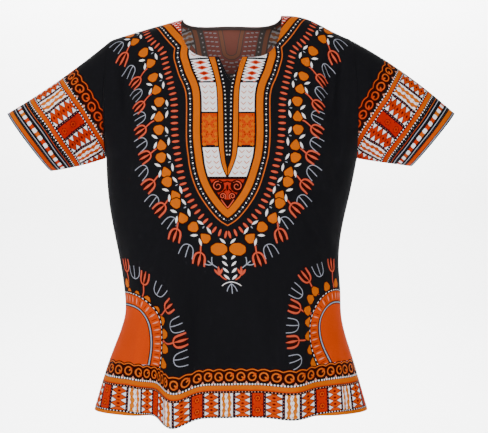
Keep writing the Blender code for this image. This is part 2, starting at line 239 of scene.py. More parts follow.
FRONT_CREASES = [
    (0.207, -0.058, 0.203, -0.236, 0.0060, -0.0036, 0, -0.006),
    (0.196, -0.050, 0.186, -0.212, 0.0055, 0.0030, 0, -0.004),
    (0.178, -0.066, 0.168, -0.190, 0.0050, -0.0024, 0, 0.003),
    (0.164, -0.052, 0.150, -0.166, 0.0060, 0.0020, 0, 0.004),
    (-0.200, -0.066, -0.196, -0.214, 0.0060, -0.0028, 0, 0.005),
    (-0.186, -0.058, -0.176, -0.196, 0.0055, 0.0022, 0, 0.004),
    (-0.166, -0.072, -0.160, -0.170, 0.0050, -0.0016, 0, -0.003),
    (0.108, -0.318, 0.186, -0.432, 0.0130, 0.0036, 0, 0.008),
    (0.124, -0.352, 0.192, -0.480, 0.0110, -0.0030, 0, 0.006),
    (-0.112, -0.350, -0.188, -0.452, 0.0120, 0.0030, 0, -0.007),
    (-0.106, -0.392, -0.176, -0.500, 0.0100, -0.0026, 0, -0.005),
    (-0.118, -0.420, -0.112, -0.668, 0.0085, -0.0028, 0, 0.004),
    (-0.060, -0.430, -0.064, -0.700, 0.0100, -0.0030, 0, 0.003),
    (0.074, -0.440, 0.082, -0.690, 0.0090, -0.0026, 0, -0.004),
    (0.128, -0.470, 0.140, -0.700, 0.0080, 0.0024, 0, 0.003),
    (-0.160, -0.540, -0.176, -0.722, 0.0100, 0.0030, 0, 0.000),
    (0.184, -0.560, 0.200, -0.722, 0.0110, 0.0032, 0, 0.000),
    (0.036, -0.470, 0.052, -0.640, 0.0120, 0.0020, 0, 0.005),
    (-0.030, -0.500, -0.020, -0.700, 0.0110, 0.0018, 0, -0.004),
    (-0.076, -0.205, -0.100, -0.300, 0.0090, 0.0014, 0, 0.004),
    (0.082, -0.190, 0.118, -0.292, 0.0095, -0.0018, 0, -0.004),
    (0.030, -0.300, 0.096, -0.392, 0.0140, 0.0020, 0, 0.005),
    (-0.034, -0.330, -0.090, -0.410, 0.0120, -0.0016, 0, -0.005),
    (-0.140, -0.250, -0.176, -0.352, 0.0090, 0.0022, 0, 0.005),
    (0.150, -0.236, 0.196, -0.344, 0.0095, 0.0024, 0, -0.005),
    (0.048, -0.628, 0.060, -0.722, 0.0090, -0.0022, 0, 0.000),
    (-0.010, -0.640, -0.006, -0.722, 0.0110, 0.0016, 0, 0.000),
]
BACK_CREASES = [
    (0.205, -0.060, 0.196, -0.232, 0.0060, -0.0034, 0, -0.005),
    (0.190, -0.052, 0.176, -0.200, 0.0055, 0.0028, 0, 0.004),
    (-0.203, -0.060, -0.198, -0.222, 0.0060, -0.0030, 0, 0.005),
    (-0.188, -0.056, -0.170, -0.190, 0.0055, 0.0024, 0, -0.004),
    (-0.050, -0.180, -0.016, -0.330, 0.0130, 0.0024, 0, 0.006),
    (0.044, -0.150, 0.060, -0.320, 0.0120, -0.0022, 0, -0.005),
    (-0.110, -0.300, -0.186, -0.420, 0.0120, 0.0034, 0, -0.006),
    (0.112, -0.290, 0.184, -0.400, 0.0110, 0.0032, 0, 0.006),
    (0.118, -0.350, 0.188, -0.470, 0.0100, -0.0028, 0, 0.005),
    (-0.112, -0.370, -0.180, -0.486, 0.0110, -0.0028, 0, -0.005),
    (-0.064, -0.440, -0.078, -0.700, 0.0100, -0.0030, 0, 0.004),
    (-0.128, -0.460, -0.150, -0.722, 0.0110, 0.0030, 0, 0.000),
    (0.050, -0.430, 0.060, -0.690, 0.0100, -0.0028, 0, -0.004),
    (0.118, -0.480, 0.126, -0.722, 0.0090, 0.0026, 0, 0.000),
    (0.016, -0.520, 0.030, -0.722, 0.0120, 0.0022, 0, 0.000),
    (-0.172, -0.560, -0.190, -0.722, 0.0110, -0.0028, 0, 0.000),
    (0.188, -0.560, 0.206, -0.722, 0.0110, 0.0030, 0, 0.000),
]
SLEEVE_CREASES = [
    (0.240, -0.074, 0.262, -0.232, 0.0070, 0.0028, 0, 0.006),
    (0.268, -0.088, 0.300, -0.250, 0.0080, 0.0030, 0, 0.005),
    (0.290, -0.108, 0.316, -0.244, 0.0060, -0.0024, 0, -0.004),
    (0.322, -0.130, 0.334, -0.232, 0.0070, -0.0022, 0, 0.003),
    (0.346, -0.150, 0.366, -0.250, 0.0060, 0.0016, 0, 0.003),
    (0.230, -0.190, 0.290, -0.270, 0.0080, -0.0022, 0, 0.004),
]

# %% From folds to the lift of each point
FOLD_FADE = 0.34        # share of its length over which a fold rises from nothing
SEAM_CALM = 0.030       # long folds die away over this distance from a seam
SIDE_CALM = 0.010       # and creases over these, from a side seam and from the top edge
TOP_CALM = 0.012
CREASE_PLAY = 1.4       # the loose cloth creases a little deeper than the table says


def fold_lift(points, folds):
    """How far the folds lift each point off the plain form, and how far they let it down."""
    lift, fall = np.zeros(points.shape[:-1]), np.zeros(points.shape[:-1])
    for top_x, top_z, foot_x, foot_z, width, depth, drop, bow in folds:
        start = np.array([top_x, top_z])
        line = np.array([foot_x, foot_z]) - start
        rest = points[..., [0, 2]] - start
        along = rest @ line / (line @ line)
        off = (rest[..., 0] * line[1] - rest[..., 1] * line[0]) / np.linalg.norm(line)
        off += bow * 4 * np.clip(along, 0, 1) * (1 - np.clip(along, 0, 1))
        near = np.exp(-(off / width) ** 2)
        to_hem = foot_z == HEM_LEVEL
        fade = smooth(along / FOLD_FADE) * (1 if to_hem else smooth((1 - along) / FOLD_FADE))
        lift += depth * near * fade
        fall += drop * near * smooth(along)
    return lift, fall


print(len(FRONT_FOLDS + BACK_FOLDS + SLEEVE_FOLDS), "long folds and",
      len(FRONT_CREASES + BACK_CREASES + SLEEVE_CREASES), "creases")

# %% [markdown]
# ## The cut panels and how flat cloth meets the form
#
# A flat point's place down the cloth gives its row on the form, and its distance from
# the centre line gives its share of that row's width. The shoulder seams slope by 5 cm,
# so the rows above the underarm rise towards the centre of the flat piece.

# %% A panel's net of worn points
SLOPE = 0.050           # how far the flat shoulder seam falls from the centre line
NET = 361               # rows and columns of the net
SEAM_INSET = SEAM_GAP / 2 * 1000    # each piece is cut this much smaller, in millimetres


class Panel:
    """A front or back: worn points and normals, read by flat place in millimetres."""

    def __init__(self, side, folds, creases):
        self.side = side
        self.down = np.linspace(0, 2, NET)
        share = np.linspace(-1, 1, NET)
        fine = np.sin(np.linspace(-1, 1, 4 * NET) * math.pi / 2)
        plain = np.empty((NET, NET, 3))
        for j, down in enumerate(self.down):
            row = row_points(fine, down, side)
            along = np.cumsum(np.linalg.norm(np.diff(row, axis=0), axis=1))
            along = np.concatenate([[0], along]) / along[-1] * 2 - 1
            for k in range(3):
                plain[j, :, k] = np.interp(share, along, row[:, k])
        steps = np.linalg.norm(np.diff(plain, axis=1), axis=2)
        self.width = steps.sum(1) * 1000
        middle = np.linalg.norm(np.diff(plain[:, NET // 2], axis=0), axis=1) * 1000
        self.depth = np.concatenate([[0], np.cumsum(middle)])
        self.length = self.depth[-1]
        # Folds die away at the seams, so that the pieces still meet there
        from_left = np.concatenate([np.zeros((NET, 1)), np.cumsum(steps, axis=1)], axis=1)
        from_side = np.minimum(from_left, from_left[:, -1:] - from_left)
        across, down = self.top_edge()
        edge = self.read(plain, across, down)
        from_top = np.full(plain.shape[:2], 9.0)
        for point in edge:
            from_top = np.minimum(from_top, np.linalg.norm(plain - point, axis=2))
        calm = smooth(from_side / SEAM_CALM) * smooth(from_top / SEAM_CALM)
        near_calm = smooth(from_side / SIDE_CALM) * smooth(from_top / TOP_CALM)
        lift, fall = fold_lift(plain, folds)
        ripple, _ = fold_lift(plain, creases)
        ripple *= CREASE_PLAY
        outward = normals_of(plain) * side
        self.points = plain + outward * (lift * calm + ripple * near_calm)[..., None]
        self.points[..., 2] -= fall * calm
        self.outward = normals_of(self.points) * side

    def row_below(self, depth):
        """The row that lies this far below the shoulder line, in millimetres at the centre."""
        return np.interp(depth, self.depth, self.down)

    def top_edge(self):
        """The top edge from side to side, as shares across and rows down."""
        neck = NECK_HALF / SHOULDER_HALF
        inner = NOTCH_HALF / SHOULDER_HALF if self.side < 0 else 0.0
        deep = (NECK_DEPTH if self.side < 0 else BACK_NECK_DEPTH) * 1000
        across, down = [np.linspace(-1, -neck, 28)[:-1]], [np.zeros(27)]
        turn = np.linspace(0, math.pi / 2, 48)
        across.append(-(inner + (neck - inner) * np.cos(turn) ** 0.62))
        down.append(self.row_below(deep * np.sin(turn) ** 0.86))
        if self.side < 0:
            part = np.linspace(0, 1, 12)[1:]
            across.append(-inner * (1 - part) ** 0.8)
            down.append(self.row_below(deep + (NOTCH_DEPTH * 1000 - deep) * part))
        across, down = np.concatenate(across), np.concatenate(down)
        return np.concatenate([across, -across[-2::-1]]), np.concatenate([down, down[-2::-1]])

    def read(self, net, across, down):
        """The net's values at shares of the form, between its four nearest points."""
        i = np.clip((np.asarray(across) + 1) / 2 * (NET - 1), 0, NET - 1 - 1e-9)
        j = np.clip(np.asarray(down) / 2 * (NET - 1), 0, NET - 1 - 1e-9)
        i0, j0 = i.astype(int), j.astype(int)
        a, b = (i - i0)[..., None], (j - j0)[..., None]
        upper = net[j0, i0] * (1 - a) + net[j0, i0 + 1] * a
        lower = net[j0 + 1, i0] * (1 - a) + net[j0 + 1, i0 + 1] * a
        return upper * (1 - b) + lower * b

    def flat(self, across, down):
        """The flat place of shares of the form: across plus down as a complex number."""
        x = across * np.interp(down, self.down, self.width) / 2
        rise = SLOPE * 1000 * np.abs(across) ** 1.5 * (1 - np.minimum(down, 1))
        return x + 1j * (np.interp(down, self.down, self.depth) + rise)

    def shares(self, flat):
        """The shares of the form at flat places, found by settling on them step by step."""
        across, down = np.zeros(flat.shape), np.zeros(flat.shape)
        for _ in range(40):
            rise = SLOPE * 1000 * np.abs(across) ** 1.5 * (1 - np.minimum(down, 1))
            down = np.interp(flat.imag - rise, self.depth, self.down)
            across = np.clip(2 * flat.real / np.interp(down, self.down, self.width), -1, 1)
        return across, down

    def worn(self, flat):
        across, down = self.shares(flat)
        return self.read(self.points, across, down), unit(self.read(self.outward, across, down))

    def cut(self):
        """The cut outline, drawn in by a hair along the seams so that pieces stay apart."""
        across, down = self.top_edge()
        rows = np.linspace(0, 2, 170)[1:]
        hem = np.linspace(1, -1, 130)[1:-1]
        across = np.concatenate([across, 1 + 0 * rows, hem, -1 + 0 * rows[::-1]])
        down = np.concatenate([down, rows, 2 + 0 * hem, rows[::-1]])
        flat = self.flat(across, down)
        drop = SEAM_INSET * ((down == 0) & (np.abs(across) >= NECK_HALF / SHOULDER_HALF))
        return flat - SEAM_INSET * np.sign(across) * (np.abs(across) == 1) + 1j * drop


front = Panel(FRONT, FRONT_FOLDS, FRONT_CREASES)
back = Panel(BACK, BACK_FOLDS, BACK_CREASES)
for name, panel in (("front", front), ("back", back)):
    print(name, "length", round(panel.length), "mm, widest row", round(panel.width.max()), "mm")

# %% [markdown]
# ## Drawing tools for the print
#
# A flat place is one complex number, in millimetres: across, and down the cloth times j.
# Screens are printed one over another, so a chart is a list of shapes in printing order,
# and a later shape covers an earlier one.

# %% The inks, in red, green and blue from 0 to 255
INKS = {
    "black": (20, 20, 23),
    "brown": (40, 8, 4),
    "plum": (40, 14, 26),
    "coral": (204, 80, 54),
    "peach": (200, 92, 26),
    "deep_coral": (176, 40, 20),
    "white": (252, 248, 250),
    "grey": (158, 162, 176),
    "stripe": (198, 94, 0),
    "block": (198, 64, 0),
    "red": (188, 38, 0),
    "wine": (128, 16, 4),
    "moon": (200, 62, 0),
    "pale": (216, 134, 104),
    "sand": (206, 112, 12),
    "pink": (206, 92, 70),
}
INK_NAMES = list(INKS)
print(len(INKS), "inks")


# %% Shapes on flat cloth
def subdivided(outline, longest=5.0):
    """An outline with its long sides divided, so that it can bend with the cloth."""
    pieces = []
    for start, end in zip(outline, np.roll(outline, -1)):
        count = max(1, math.ceil(abs(end - start) / longest))
        pieces.append(start + (end - start) * np.arange(count) / count)
    return np.concatenate(pieces)


def oval(centre, long, wide=None, turn=0.0, points=12):
    angle = np.arange(points) * 2 * math.pi / points
    wide = long if wide is None else wide
    return centre + (np.cos(angle) * long / 2 + 1j * np.sin(angle) * wide / 2) * np.exp(1j * turn)


def leaf(base, tip, width, fullest=1.0):
    """A leaf from base to tip. It is fullest nearer its tip where fullest is over 1."""
    share = np.linspace(0, 1, 7)
    aside = 1j * (tip - base) / abs(tip - base) * width / 2 * np.sin(math.pi * share ** fullest)
    middle = base + (tip - base) * share
    return np.concatenate([middle + aside, (middle - aside)[-2:0:-1]])


def curve(points, step=4.0):
    """A smooth line through the points, as places about one step apart."""
    points = np.array(points, complex)
    at = np.concatenate([[0], np.cumsum(np.abs(np.diff(points)))])
    along = np.linspace(0, at[-1], max(3, round(at[-1] / step) + 1))
    return curve_through(at, points.real)(along) + 1j * curve_through(at, points.imag)(along)


def ribbon(path, width):
    """A line with a width, which may change along it."""
    path = np.asarray(path, complex)
    way = np.gradient(path)
    aside = 1j * way / np.abs(way) * np.asarray(width) / 2
    return np.concatenate([path + aside, (path - aside)[::-1]])


def band(start, end):
    """An upright rectangle between two opposite corners."""
    return np.array([start, end.real + 1j * start.imag, end, start.real + 1j * end.imag])


def grown(outline, by):
    middle = outline.mean()
    return outline + by * (outline - middle) / np.abs(outline - middle)


def clipped(outline, top, foot):
    """The part of an outline without hollows that lies between two levels."""
    for level, side in ((top, 1), (foot, -1)):
        kept = []
        for a, b in zip(outline, np.roll(outline, -1)):
            if side * (a.imag - level) >= 0:
                kept.append(a)
            if (a.imag - level) * (b.imag - level) < 0:
                kept.append(a + (b - a) * (level - a.imag) / (b.imag - a.imag))
        outline = np.array(kept)
    return outline


# %% Lines, stations along them and directions beside them
def pairs(*numbers):
    """Flat places from numbers in turn: across, down, across, down."""
    return [complex(x, y) for x, y in zip(numbers[::2], numbers[1::2])]


def stations(line, spacing, start=0.0):
    """Places at even spacing along a line, and the direction to its outer side at each."""
    at = np.concatenate([[0], np.cumsum(np.abs(np.diff(line)))])
    along = np.arange(start, at[-1], spacing)

    def place(where):
        return np.interp(where, at, line.real) + 1j * np.interp(where, at, line.imag)

    way = place(along + 1) - place(along - 1)
    return place(along), -1j * way / np.abs(way)


def at_level(line, level):
    """The place where a line crosses a level, and the direction to its outer side there."""
    low, high = (np.interp(level + step, line.imag, line.real) + 1j * (level + step) for step in (-3, 3))
    way = (high - low) / abs(high - low)
    return (low + high) / 2, -1j * way


def aim(line, place):
    """The direction to a line's outer side, where the line comes nearest to a place."""
    k = int(np.clip(np.argmin(np.abs(line - place)), 1, len(line) - 2))
    way = line[k + 1] - line[k - 1]
    return -1j * way / abs(way)


def beside(line, distance):
    """A line at a distance from another, on its inner side, with corners kept."""
    way = np.diff(line)
    way = way / np.abs(way)
    first, last = np.concatenate([way[:1], way]), np.concatenate([way, way[-1:]])
    return line + distance * 1j * (first + last) / (1 + (first * last.conjugate()).real)


def parallel(line, distance):
    """A line beside another, nearer the centre line, cut off where it would cross it."""
    new = beside(line, distance)
    over = np.nonzero(new.real <= 0)[0]
    if len(over):
        k = over[0]
        share = new[k - 1].real / (new[k - 1].real - new[k].real)
        return np.append(new[:k], 1j * (new[k - 1] + (new[k] - new[k - 1]) * share).imag)
    way = new[-1] - new[-2]
    return np.append(new, 1j * (new[-1] + way * new[-1].real / max(-way.real, 1e-3)).imag)


# %% The chart of one cut piece
class Chart:
    """The print of one cut piece: shapes in the order in which they are printed."""

    def __init__(self, place=None):
        self.shapes = []
        self.place = place or (lambda flat: flat)

    def add(self, ink, *outlines):
        for outline in outlines:
            self.shapes.append((INK_NAMES.index(ink), self.place(subdivided(outline))))

    def inside(self, ink, line):
        """All that lies between a line and the centre line."""
        self.add(ink, np.concatenate([line, [1j * line[-1].imag, 1j * line[0].imag]]))

    def dots(self, ink, places, size, points=6):
        for place in places:
            self.add(ink, oval(place, size, points=points))


# %% [markdown]
# ## Motifs
#
# The print is the well-known dashiki print, which many makers have printed since the
# 1960s. Its buds, forks, leaves, rings and woven-looking blocks are charted here one by one.
# A motif is drawn about its own base, pointing outwards, and then turned and set down.

# %% The small motifs
LOWER_BUD = np.array(pairs(0, 4, -5.5, 11, -8.5, 17.5, -4.5, 22.5, 4.5, 23, 9, 17.5, 5.5, 10.5))
UPPER_BUD = np.array(pairs(-3, -4.5, 3, -4.5, 7.5, -10, 9.5, -17, 5, -21.5, -5, -21, -9.5, -15, -6.5, -9))
# Root and tip of each white leaf
BUD_LEAVES = [(-12.5 - 16j, -15 - 3j), (-12 + 18j, -15.5 + 4j), (5 + 2j, 14.5 - 7.5j), (7.5 + 7j, 15 + 18.5j)]


def rounded(outline):
    """An outline with each corner cut off once, at a sixth of its sides."""
    ahead = np.roll(outline, -1)
    return np.stack([outline * 0.84 + ahead * 0.16, outline * 0.16 + ahead * 0.84], axis=1).ravel()


def buds(chart, base, out, size=1.03):
    """Two buds that meet tip to tip, with four leaves and a grey dash about the meeting."""
    for bud in (LOWER_BUD, UPPER_BUD):
        outline = grown(rounded(bud), 0.4)
        chart.add("brown", base + out * grown(outline, 1.9) * size)
        chart.add("stripe", base + out * outline * size)
    for root, tip in BUD_LEAVES:
        chart.add("white", base + out * leaf(root, tip, 4.4) * size)
    chart.add("grey", base + out * oval(-11.5 + 0j, 5, 1.8) * size)


def spindle(chart, base, out, long=13.8):
    outline = oval(0, long, 4.4)
    chart.add("brown", base + out * grown(outline, 1.2))
    chart.add("coral", base + out * outline)


def fork(chart, base, out, lean=0.42):
    """A coral fork of three prongs on a stem that reaches in between two buds."""
    out = out * np.exp(1j * lean)
    chart.add("brown", base + out * oval(10 + 0j, 29, 23))
    stem = curve(pairs(-26, -1, -16, -3.5, -6, -2, 2, 0), 3.0)
    chart.add("brown", base + out * ribbon(stem, 4.6))
    chart.add("coral", base + out * ribbon(stem, 2.6))
    chart.add("coral", base + out * leaf(-31 - 0.5j, -20 - 2.4j, 5.2))
    for points in (
        pairs(0, 0, 3, -6.5, 9, -9.5, 16, -10, 24, -9),
        pairs(0, 0, 3, 6.5, 9, 9.5, 16, 10.5, 23, 11.5),
    ):
        path = curve(points, 3.0)
        thickness = np.interp(np.linspace(0, 1, len(path)), [0, 0.6, 1], [2.4, 3.9, 2.8])
        chart.add("coral", base + out * ribbon(path, thickness))
    chart.add("coral", base + out * leaf(0j, 26 + 0.6j, 4.4, 1.2))


def line_fork(chart, base, out, lean=0.30):
    """The same fork, drawn as one thin grey line."""
    out = out * np.exp(1j * lean)
    for points in (
        pairs(24, -12, 13, -11.5, 4, -8.5, 0, 0, 4, 8.5, 12, 12, 22, 14),
        pairs(1, 0.2, 10, 0.4, 24, 1.6),
    ):
        chart.add("grey", base + out * ribbon(curve(points, 3.0), 1.35))


# %% Rings, chevrons and stepped diamonds
def hooked_ring(chart, centre, out, size=16.0, up=1):
    """A ring with a hook inside, as wave scrolls have, that opens up or down the cloth."""
    chart.add("peach", oval(centre, size, points=20))
    chart.add("brown", oval(centre, size * 0.68, points=16))
    hook = np.linspace(0.46, 0.06, 5) * np.exp(0.5j * up * np.arange(5) / 4)
    tail = centre + out * size * np.exp(-0.75j * up) * hook
    chart.add("peach", ribbon(tail, np.array([5.0, 4.4, 3.4, 2.6, 1.8])))
    chart.add("block", oval(centre + out * size * 0.43 * np.exp(-0.72j * up), size * 0.30, size * 0.22))


def chevron(centre, half, tall, width=2.0):
    arm = np.array([-half - 1j * tall / 2, centre * 0 + 1j * tall / 2, half - 1j * tall / 2])
    side = 1j * width / 2
    return centre + np.concatenate([arm + side, (arm - side)[::-1]])


def stepped_diamond(centre, wide, tall, steps=4):
    """A diamond with stepped sides, as a woven one has."""
    quarter = []
    for i in range(steps):
        quarter += [complex(wide / 2 * (1 - i / steps), tall / 2 * i / steps),
                    complex(wide / 2 * (1 - i / steps), tall / 2 * (i + 1) / steps)]
    quarter = np.array(quarter)
    half = np.concatenate([quarter, -quarter[::-1].conjugate()])
    return centre + np.concatenate([half, -half])


# %% [markdown]
# ## The block strip
#
# A strip of upright blocks runs along the hem and round the sleeves, as in strip-woven
# cloth: plain orange with round flowers, a chain of diamonds, and white with knotted
# lines, with narrow dark blocks between them.

# %% Blocks in strip places: along, and down the strip
BLOCKS = [("flower", 19), ("dark", 5), ("diamond", 26), ("dark", 5),
          ("knot", 23), ("dark", 5), ("diamond", 26), ("dark", 5)]
PERIOD = sum(width for _, width in BLOCKS)


def flower_block(chart, left, right, top, foot):
    chart.add("red", band(left + 1j * top, right + 1j * foot))
    for y in np.arange(top + 9, foot - 2, 21.0):
        middle = (left + right) / 2 + 1j * y
        petals = 5.6 + 0.9 * np.cos(6 * np.linspace(0, 2 * math.pi, 24, endpoint=False))
        chart.add("wine", middle + petals * np.exp(1j * np.linspace(0, 2 * math.pi, 24, endpoint=False)))
        chart.add("block", oval(middle, 8.6))
        chart.add("wine", oval(middle, 4.4, points=8))
        for x in (left + 1.6, right - 1.6):
            chart.add("wine", oval(x + 1j * (y + 10.5), 3.4, 2.2, points=6))
            chart.add("brown", oval(x + 1j * (y + 10.5), 1.4, points=5))


def diamond_block(chart, left, right, top, foot, pitch=11.3):
    chart.add("block", band(left + 1j * top, right + 1j * foot))
    middle, half = (left + right) / 2, (right - left) / 2
    for y in np.arange(top + pitch * 0.1, foot + pitch, pitch):
        for ink, wide in (("brown", 1.5), ("white", 0.0)):
            for side in (-1, 1):
                edge = middle + side * half + 1j * y
                reach, base = side * (half * 0.66 + wide), 1j * (4.1 + wide)
                tooth = clipped(np.array([edge - base, edge - reach, edge + base]), top, foot)
                if len(tooth) > 2 and np.ptp(tooth.imag) > 1:
                    chart.add(ink, tooth)
        if top + 1 < y < foot - 1:
            chart.add("brown", oval(middle + 1j * y, half * 0.5, 1.3, points=6))
        if y + pitch / 2 < foot - 2:
            chart.add("wine", oval(middle + 1j * (y + pitch / 2), 6.4, 4.0, points=8))
            chart.add("brown", oval(middle + 1j * (y + pitch / 2), 3.2, 2.0, points=6))


def knot_block(chart, left, right, top, foot):
    chart.add("white", band(left + 1j * top, right + 1j * foot))
    for share, phase in ((0.27, 0.0), (0.73, 1.2)):
        y = np.arange(top, foot + 0.1, 2.0)
        y[-1] = foot
        path = left + (right - left) * share + 0.8 * np.sin(y / 4.5 + phase) + 1j * y
        chart.add("sand", ribbon(path, 5.8 + 2.0 * np.cos(y * 2 * math.pi / 10.5 + phase)))
        beads = np.arange(top + 4 + phase, foot - 2, 10.5)
        chart.dots("block", left + (right - left) * share + 1j * beads, 2.2, 6)
    for y in np.arange(top + 3, foot - 1, 7.0):
        chart.add("pale", oval((left + right) / 2 + 1j * y, 1.6, 3.6, points=6))


def dark_block(chart, left, right, top, foot):
    chart.add("plum", band(left + 1j * top, right + 1j * foot))
    for y in np.arange(top + 3, foot - 1, 5.6):
        chart.add("pale", oval((left + right) / 2 + 1j * y, 1.5, 1.2, points=6))


MAKERS = {"flower": flower_block, "diamond": diamond_block, "knot": knot_block, "dark": dark_block}


def block_strip(chart, start, stop, top, foot):
    """The blocks from start to stop, where a flower block is centred on 0."""
    left = -BLOCKS[0][1] / 2 - PERIOD * math.ceil(-start / PERIOD)
    while left < stop:
        for kind, width in BLOCKS:
            right = left + width
            if left >= start - 30 and right <= stop + 30:
                MAKERS[kind](chart, left, right, top, foot)
            left = right


print("the blocks repeat every", PERIOD, "mm")

# %% [markdown]
# ## The front's print: the yoke
#
# The yoke is symmetrical, so one half is charted, as half-width and level, and set down
# twice about the print's centre line. Stripes, blocks and rows of ticks, buds and forks
# follow one long coral line that runs from the shoulder to a point below the chest.

# %% Lines of the front's yoke
CORAL_LINE = np.concatenate([
    curve(pairs(165, -10, 140, 40, 115, 92, 97, 118))[:-1],
    curve(pairs(97, 118, 98, 138, 94, 155, 88, 176, 81, 193, 76, 209, 74.5, 225, 74.5, 262, 74, 298,
                69.5, 335, 61, 368, 53, 388, 42, 407, 27, 427, 13, 441, 0, 449)),
])
STRIPE_OUTER = curve(pairs(50, 100, 36, 139, 27, 168, 22, 188, 19.5, 206, 18.5, 224, 18, 261, 17, 297,
                           15.4, 315, 11.5, 335, 5.5, 352, 0, 363))
STRIPE_INNER = curve(pairs(37, 100, 24.5, 139, 17.5, 169, 13.5, 188, 10.5, 206, 9.6, 224, 8.8, 261, 8.3, 297,
                           7.4, 315, 4.8, 333, 0, 349))
TICK_ROW = curve(pairs(172, 22, 158, 50, 150, 76, 134, 102, 121, 118, 116, 135, 112, 155, 107, 175,
                       103, 195, 99, 214, 96.5, 235, 96.5, 262, 95, 290, 92.5, 312, 88, 335, 83, 358,
                       78, 378, 68, 400, 56, 422, 40, 441, 20, 459, 0, 466))
BUD_ROW = curve(pairs(200, 26, 189, 50, 175, 82, 158, 111, 144, 137, 137, 169, 130, 198, 125, 223,
                      125, 251, 125, 276, 121, 304, 120, 328, 112, 351, 107, 372, 96, 393, 91, 411,
                      81, 432, 62, 451, 40, 471, 16, 493))
BLOCK_EDGE = parallel(CORAL_LINE, 26)
# Ink, top and foot of each block down the chest
YOKE_BLOCKS = [("white", 120, 143.5), ("white", 147, 189.5), ("white", 192.5, 246),
               ("block", 249, 305.5), ("white", 310, 362)]
BUD_LEVELS = (66, 124, 183, 237, 290, 340, 383, 422, 461)
FORKS = pairs(192, 100, 163, 160, 154, 218, 150, 270, 141, 320, 133, 370, 113, 412, 90, 455, 49, 497)
LINE_FORKS = pairs(202, 72, 178, 131, 160, 189, 151, 245, 149, 295, 146, 345, 128, 397, 95, 436, 69, 483)
print("coral line from", CORAL_LINE[0].imag, "to", CORAL_LINE[-1].imag, "mm down the front")


# %% Blocks, rows and stripes that follow the yoke's lines
def half_at(line, level):
    """How far a line lies from the print's centre line at a level."""
    return np.interp(level, line.imag, line.real)


def field(chart, ink, outer, inner, top, foot, inset=1.6):
    """A block of the yoke, between two lines and two levels."""
    level = np.linspace(top, foot, max(3, math.ceil((foot - top) / 4)))
    right, left = half_at(outer, level) - inset, half_at(inner, level) + inset
    kept = right > left + 0.2
    right, left, level = right[kept], left[kept], level[kept]
    chart.add(ink, np.concatenate([right + 1j * level, (left + 1j * level)[::-1]]))


def outer_rows(chart, ticks, bud_row, levels, forks, line_forks):
    """The rows that run round outside the coral line."""
    for base, out in zip(*stations(ticks, 11.1, 5)):
        if base.real > 3:
            spindle(chart, base, out)
    for base in line_forks:
        line_fork(chart, base, aim(bud_row, base))
    for base in forks:
        fork(chart, base, aim(bud_row, base))
    for level in levels:
        base, out = at_level(bud_row, level)
        buds(chart, base, out)


def striped_edge(chart, line):
    """The coral line with what runs along inside it: dots and the outer orange stripe."""
    chart.inside("peach", parallel(line, -1.0))
    chart.inside("black", parallel(line, 1.0))
    dotted = parallel(line, 6.6)
    chart.dots("white", stations(dotted, 9.7, 4)[0], 2.9)
    chart.dots("grey", stations(dotted, 9.7, 8.85)[0], 1.3, 6)
    for ink, distance in (("brown", 10.4), ("stripe", 12), ("brown", 24), ("black", 25.4)):
        chart.inside(ink, parallel(line, distance))


def dashes_beside_neck(chart, edge):
    """Red with rows of white dashes, from the shoulder down to the first block."""
    field(chart, "red", edge, 1j * edge.imag, -20, 118, 0.8)
    for row, distance in enumerate((30.5, 38, 45.5, 53)):
        for place, _ in zip(*stations(parallel(CORAL_LINE, distance), 9.4, 4.7 * (row % 2))):
            if place.imag < 114:
                chart.add("white", oval(place, 6.8, 2.4, points=8))


# %% Blocks down the chest: white, ikat, white, flowers, white
def across(share, level):
    """A place in the blocks, as a share of the way from the inner stripe to their outer edge."""
    inner, outer = half_at(STRIPE_OUTER, level) + 1.6, half_at(BLOCK_EDGE, level) - 1.6
    return inner + (outer - inner) * share + 1j * level


def ikat_block(chart):
    for level, size in ((153.0, 0.8), (163.5, 1.0), (174.5, 1.1), (184.0, 0.7)):
        width = abs(across(1.0, level) - across(0.0, level))
        chart.add("pink", stepped_diamond(across(0.5, level), width * 0.62, 8.4))
        chart.add("red", stepped_diamond(across(0.5, level), width * 0.40 * size, 6.0))
        chart.add("wine", oval(across(0.5, level), 6.5 * size, 2.8, points=8))
    for level in np.arange(150.5, 188.5, 5.4):
        for share, way in ((0.0, 1), (1.0, -1)):
            chart.add("brown", across(share, level) + np.array([-2.2j - way, way * 5.6 + 0j, 2.2j - way]))
        for share in (0.2, 0.8):
            chart.add("pink", oval(across(share, level + 2.6), 5, 1.6, points=6))


def chevron_blocks(chart):
    for level in (127.0, 136.5):
        for share in (0.3, 0.7):
            chart.add("pale", chevron(across(share, level), 6, 4))
    for level in (*np.arange(200.0, 243, 10.2), *np.arange(317.0, 360, 9.6)):
        room = abs(across(1.0, level) - across(0.0, level))
        for share in (0.27, 0.73) if room > 22 else (0.5,):
            chart.add("pale", chevron(across(share, level), min(6.0, room * 0.17), 4.4))
            chart.add("sand", chevron(across(share, level + 1.2), min(3.4, room * 0.1), 2.4, 1.2))


def yoke_flower(chart, place, size, wave, petals):
    angle = np.linspace(0, 2 * math.pi, 20, endpoint=False)
    chart.add("stripe", place + (size + wave * np.cos(petals * angle)) * np.exp(1j * angle))


def yoke_flower_block(chart):
    for row, level in enumerate(np.arange(252.0, 304, 4.4)):
        for share in (0.10, 0.26, 0.42, 0.58, 0.74, 0.90):
            near = across(share + (0.07 if row % 2 else -0.03), level)
            chart.add("red" if (row + int(share * 10)) % 3 else "wine", oval(near, 3.4, 2.0, 0.6 * row, 6))
    for level in (259.0, 277.0, 295.0):
        yoke_flower(chart, across(0.5, level), 6.0, 1.5, 4)
        chart.add("block", oval(across(0.5, level), 2.6, points=6))
        for share in (0.12, 0.88):
            yoke_flower(chart, across(share, level + 9), 3.4, 0.9, 5)
            yoke_flower(chart, across(share, level - 1), 2.8, 0.7, 5)


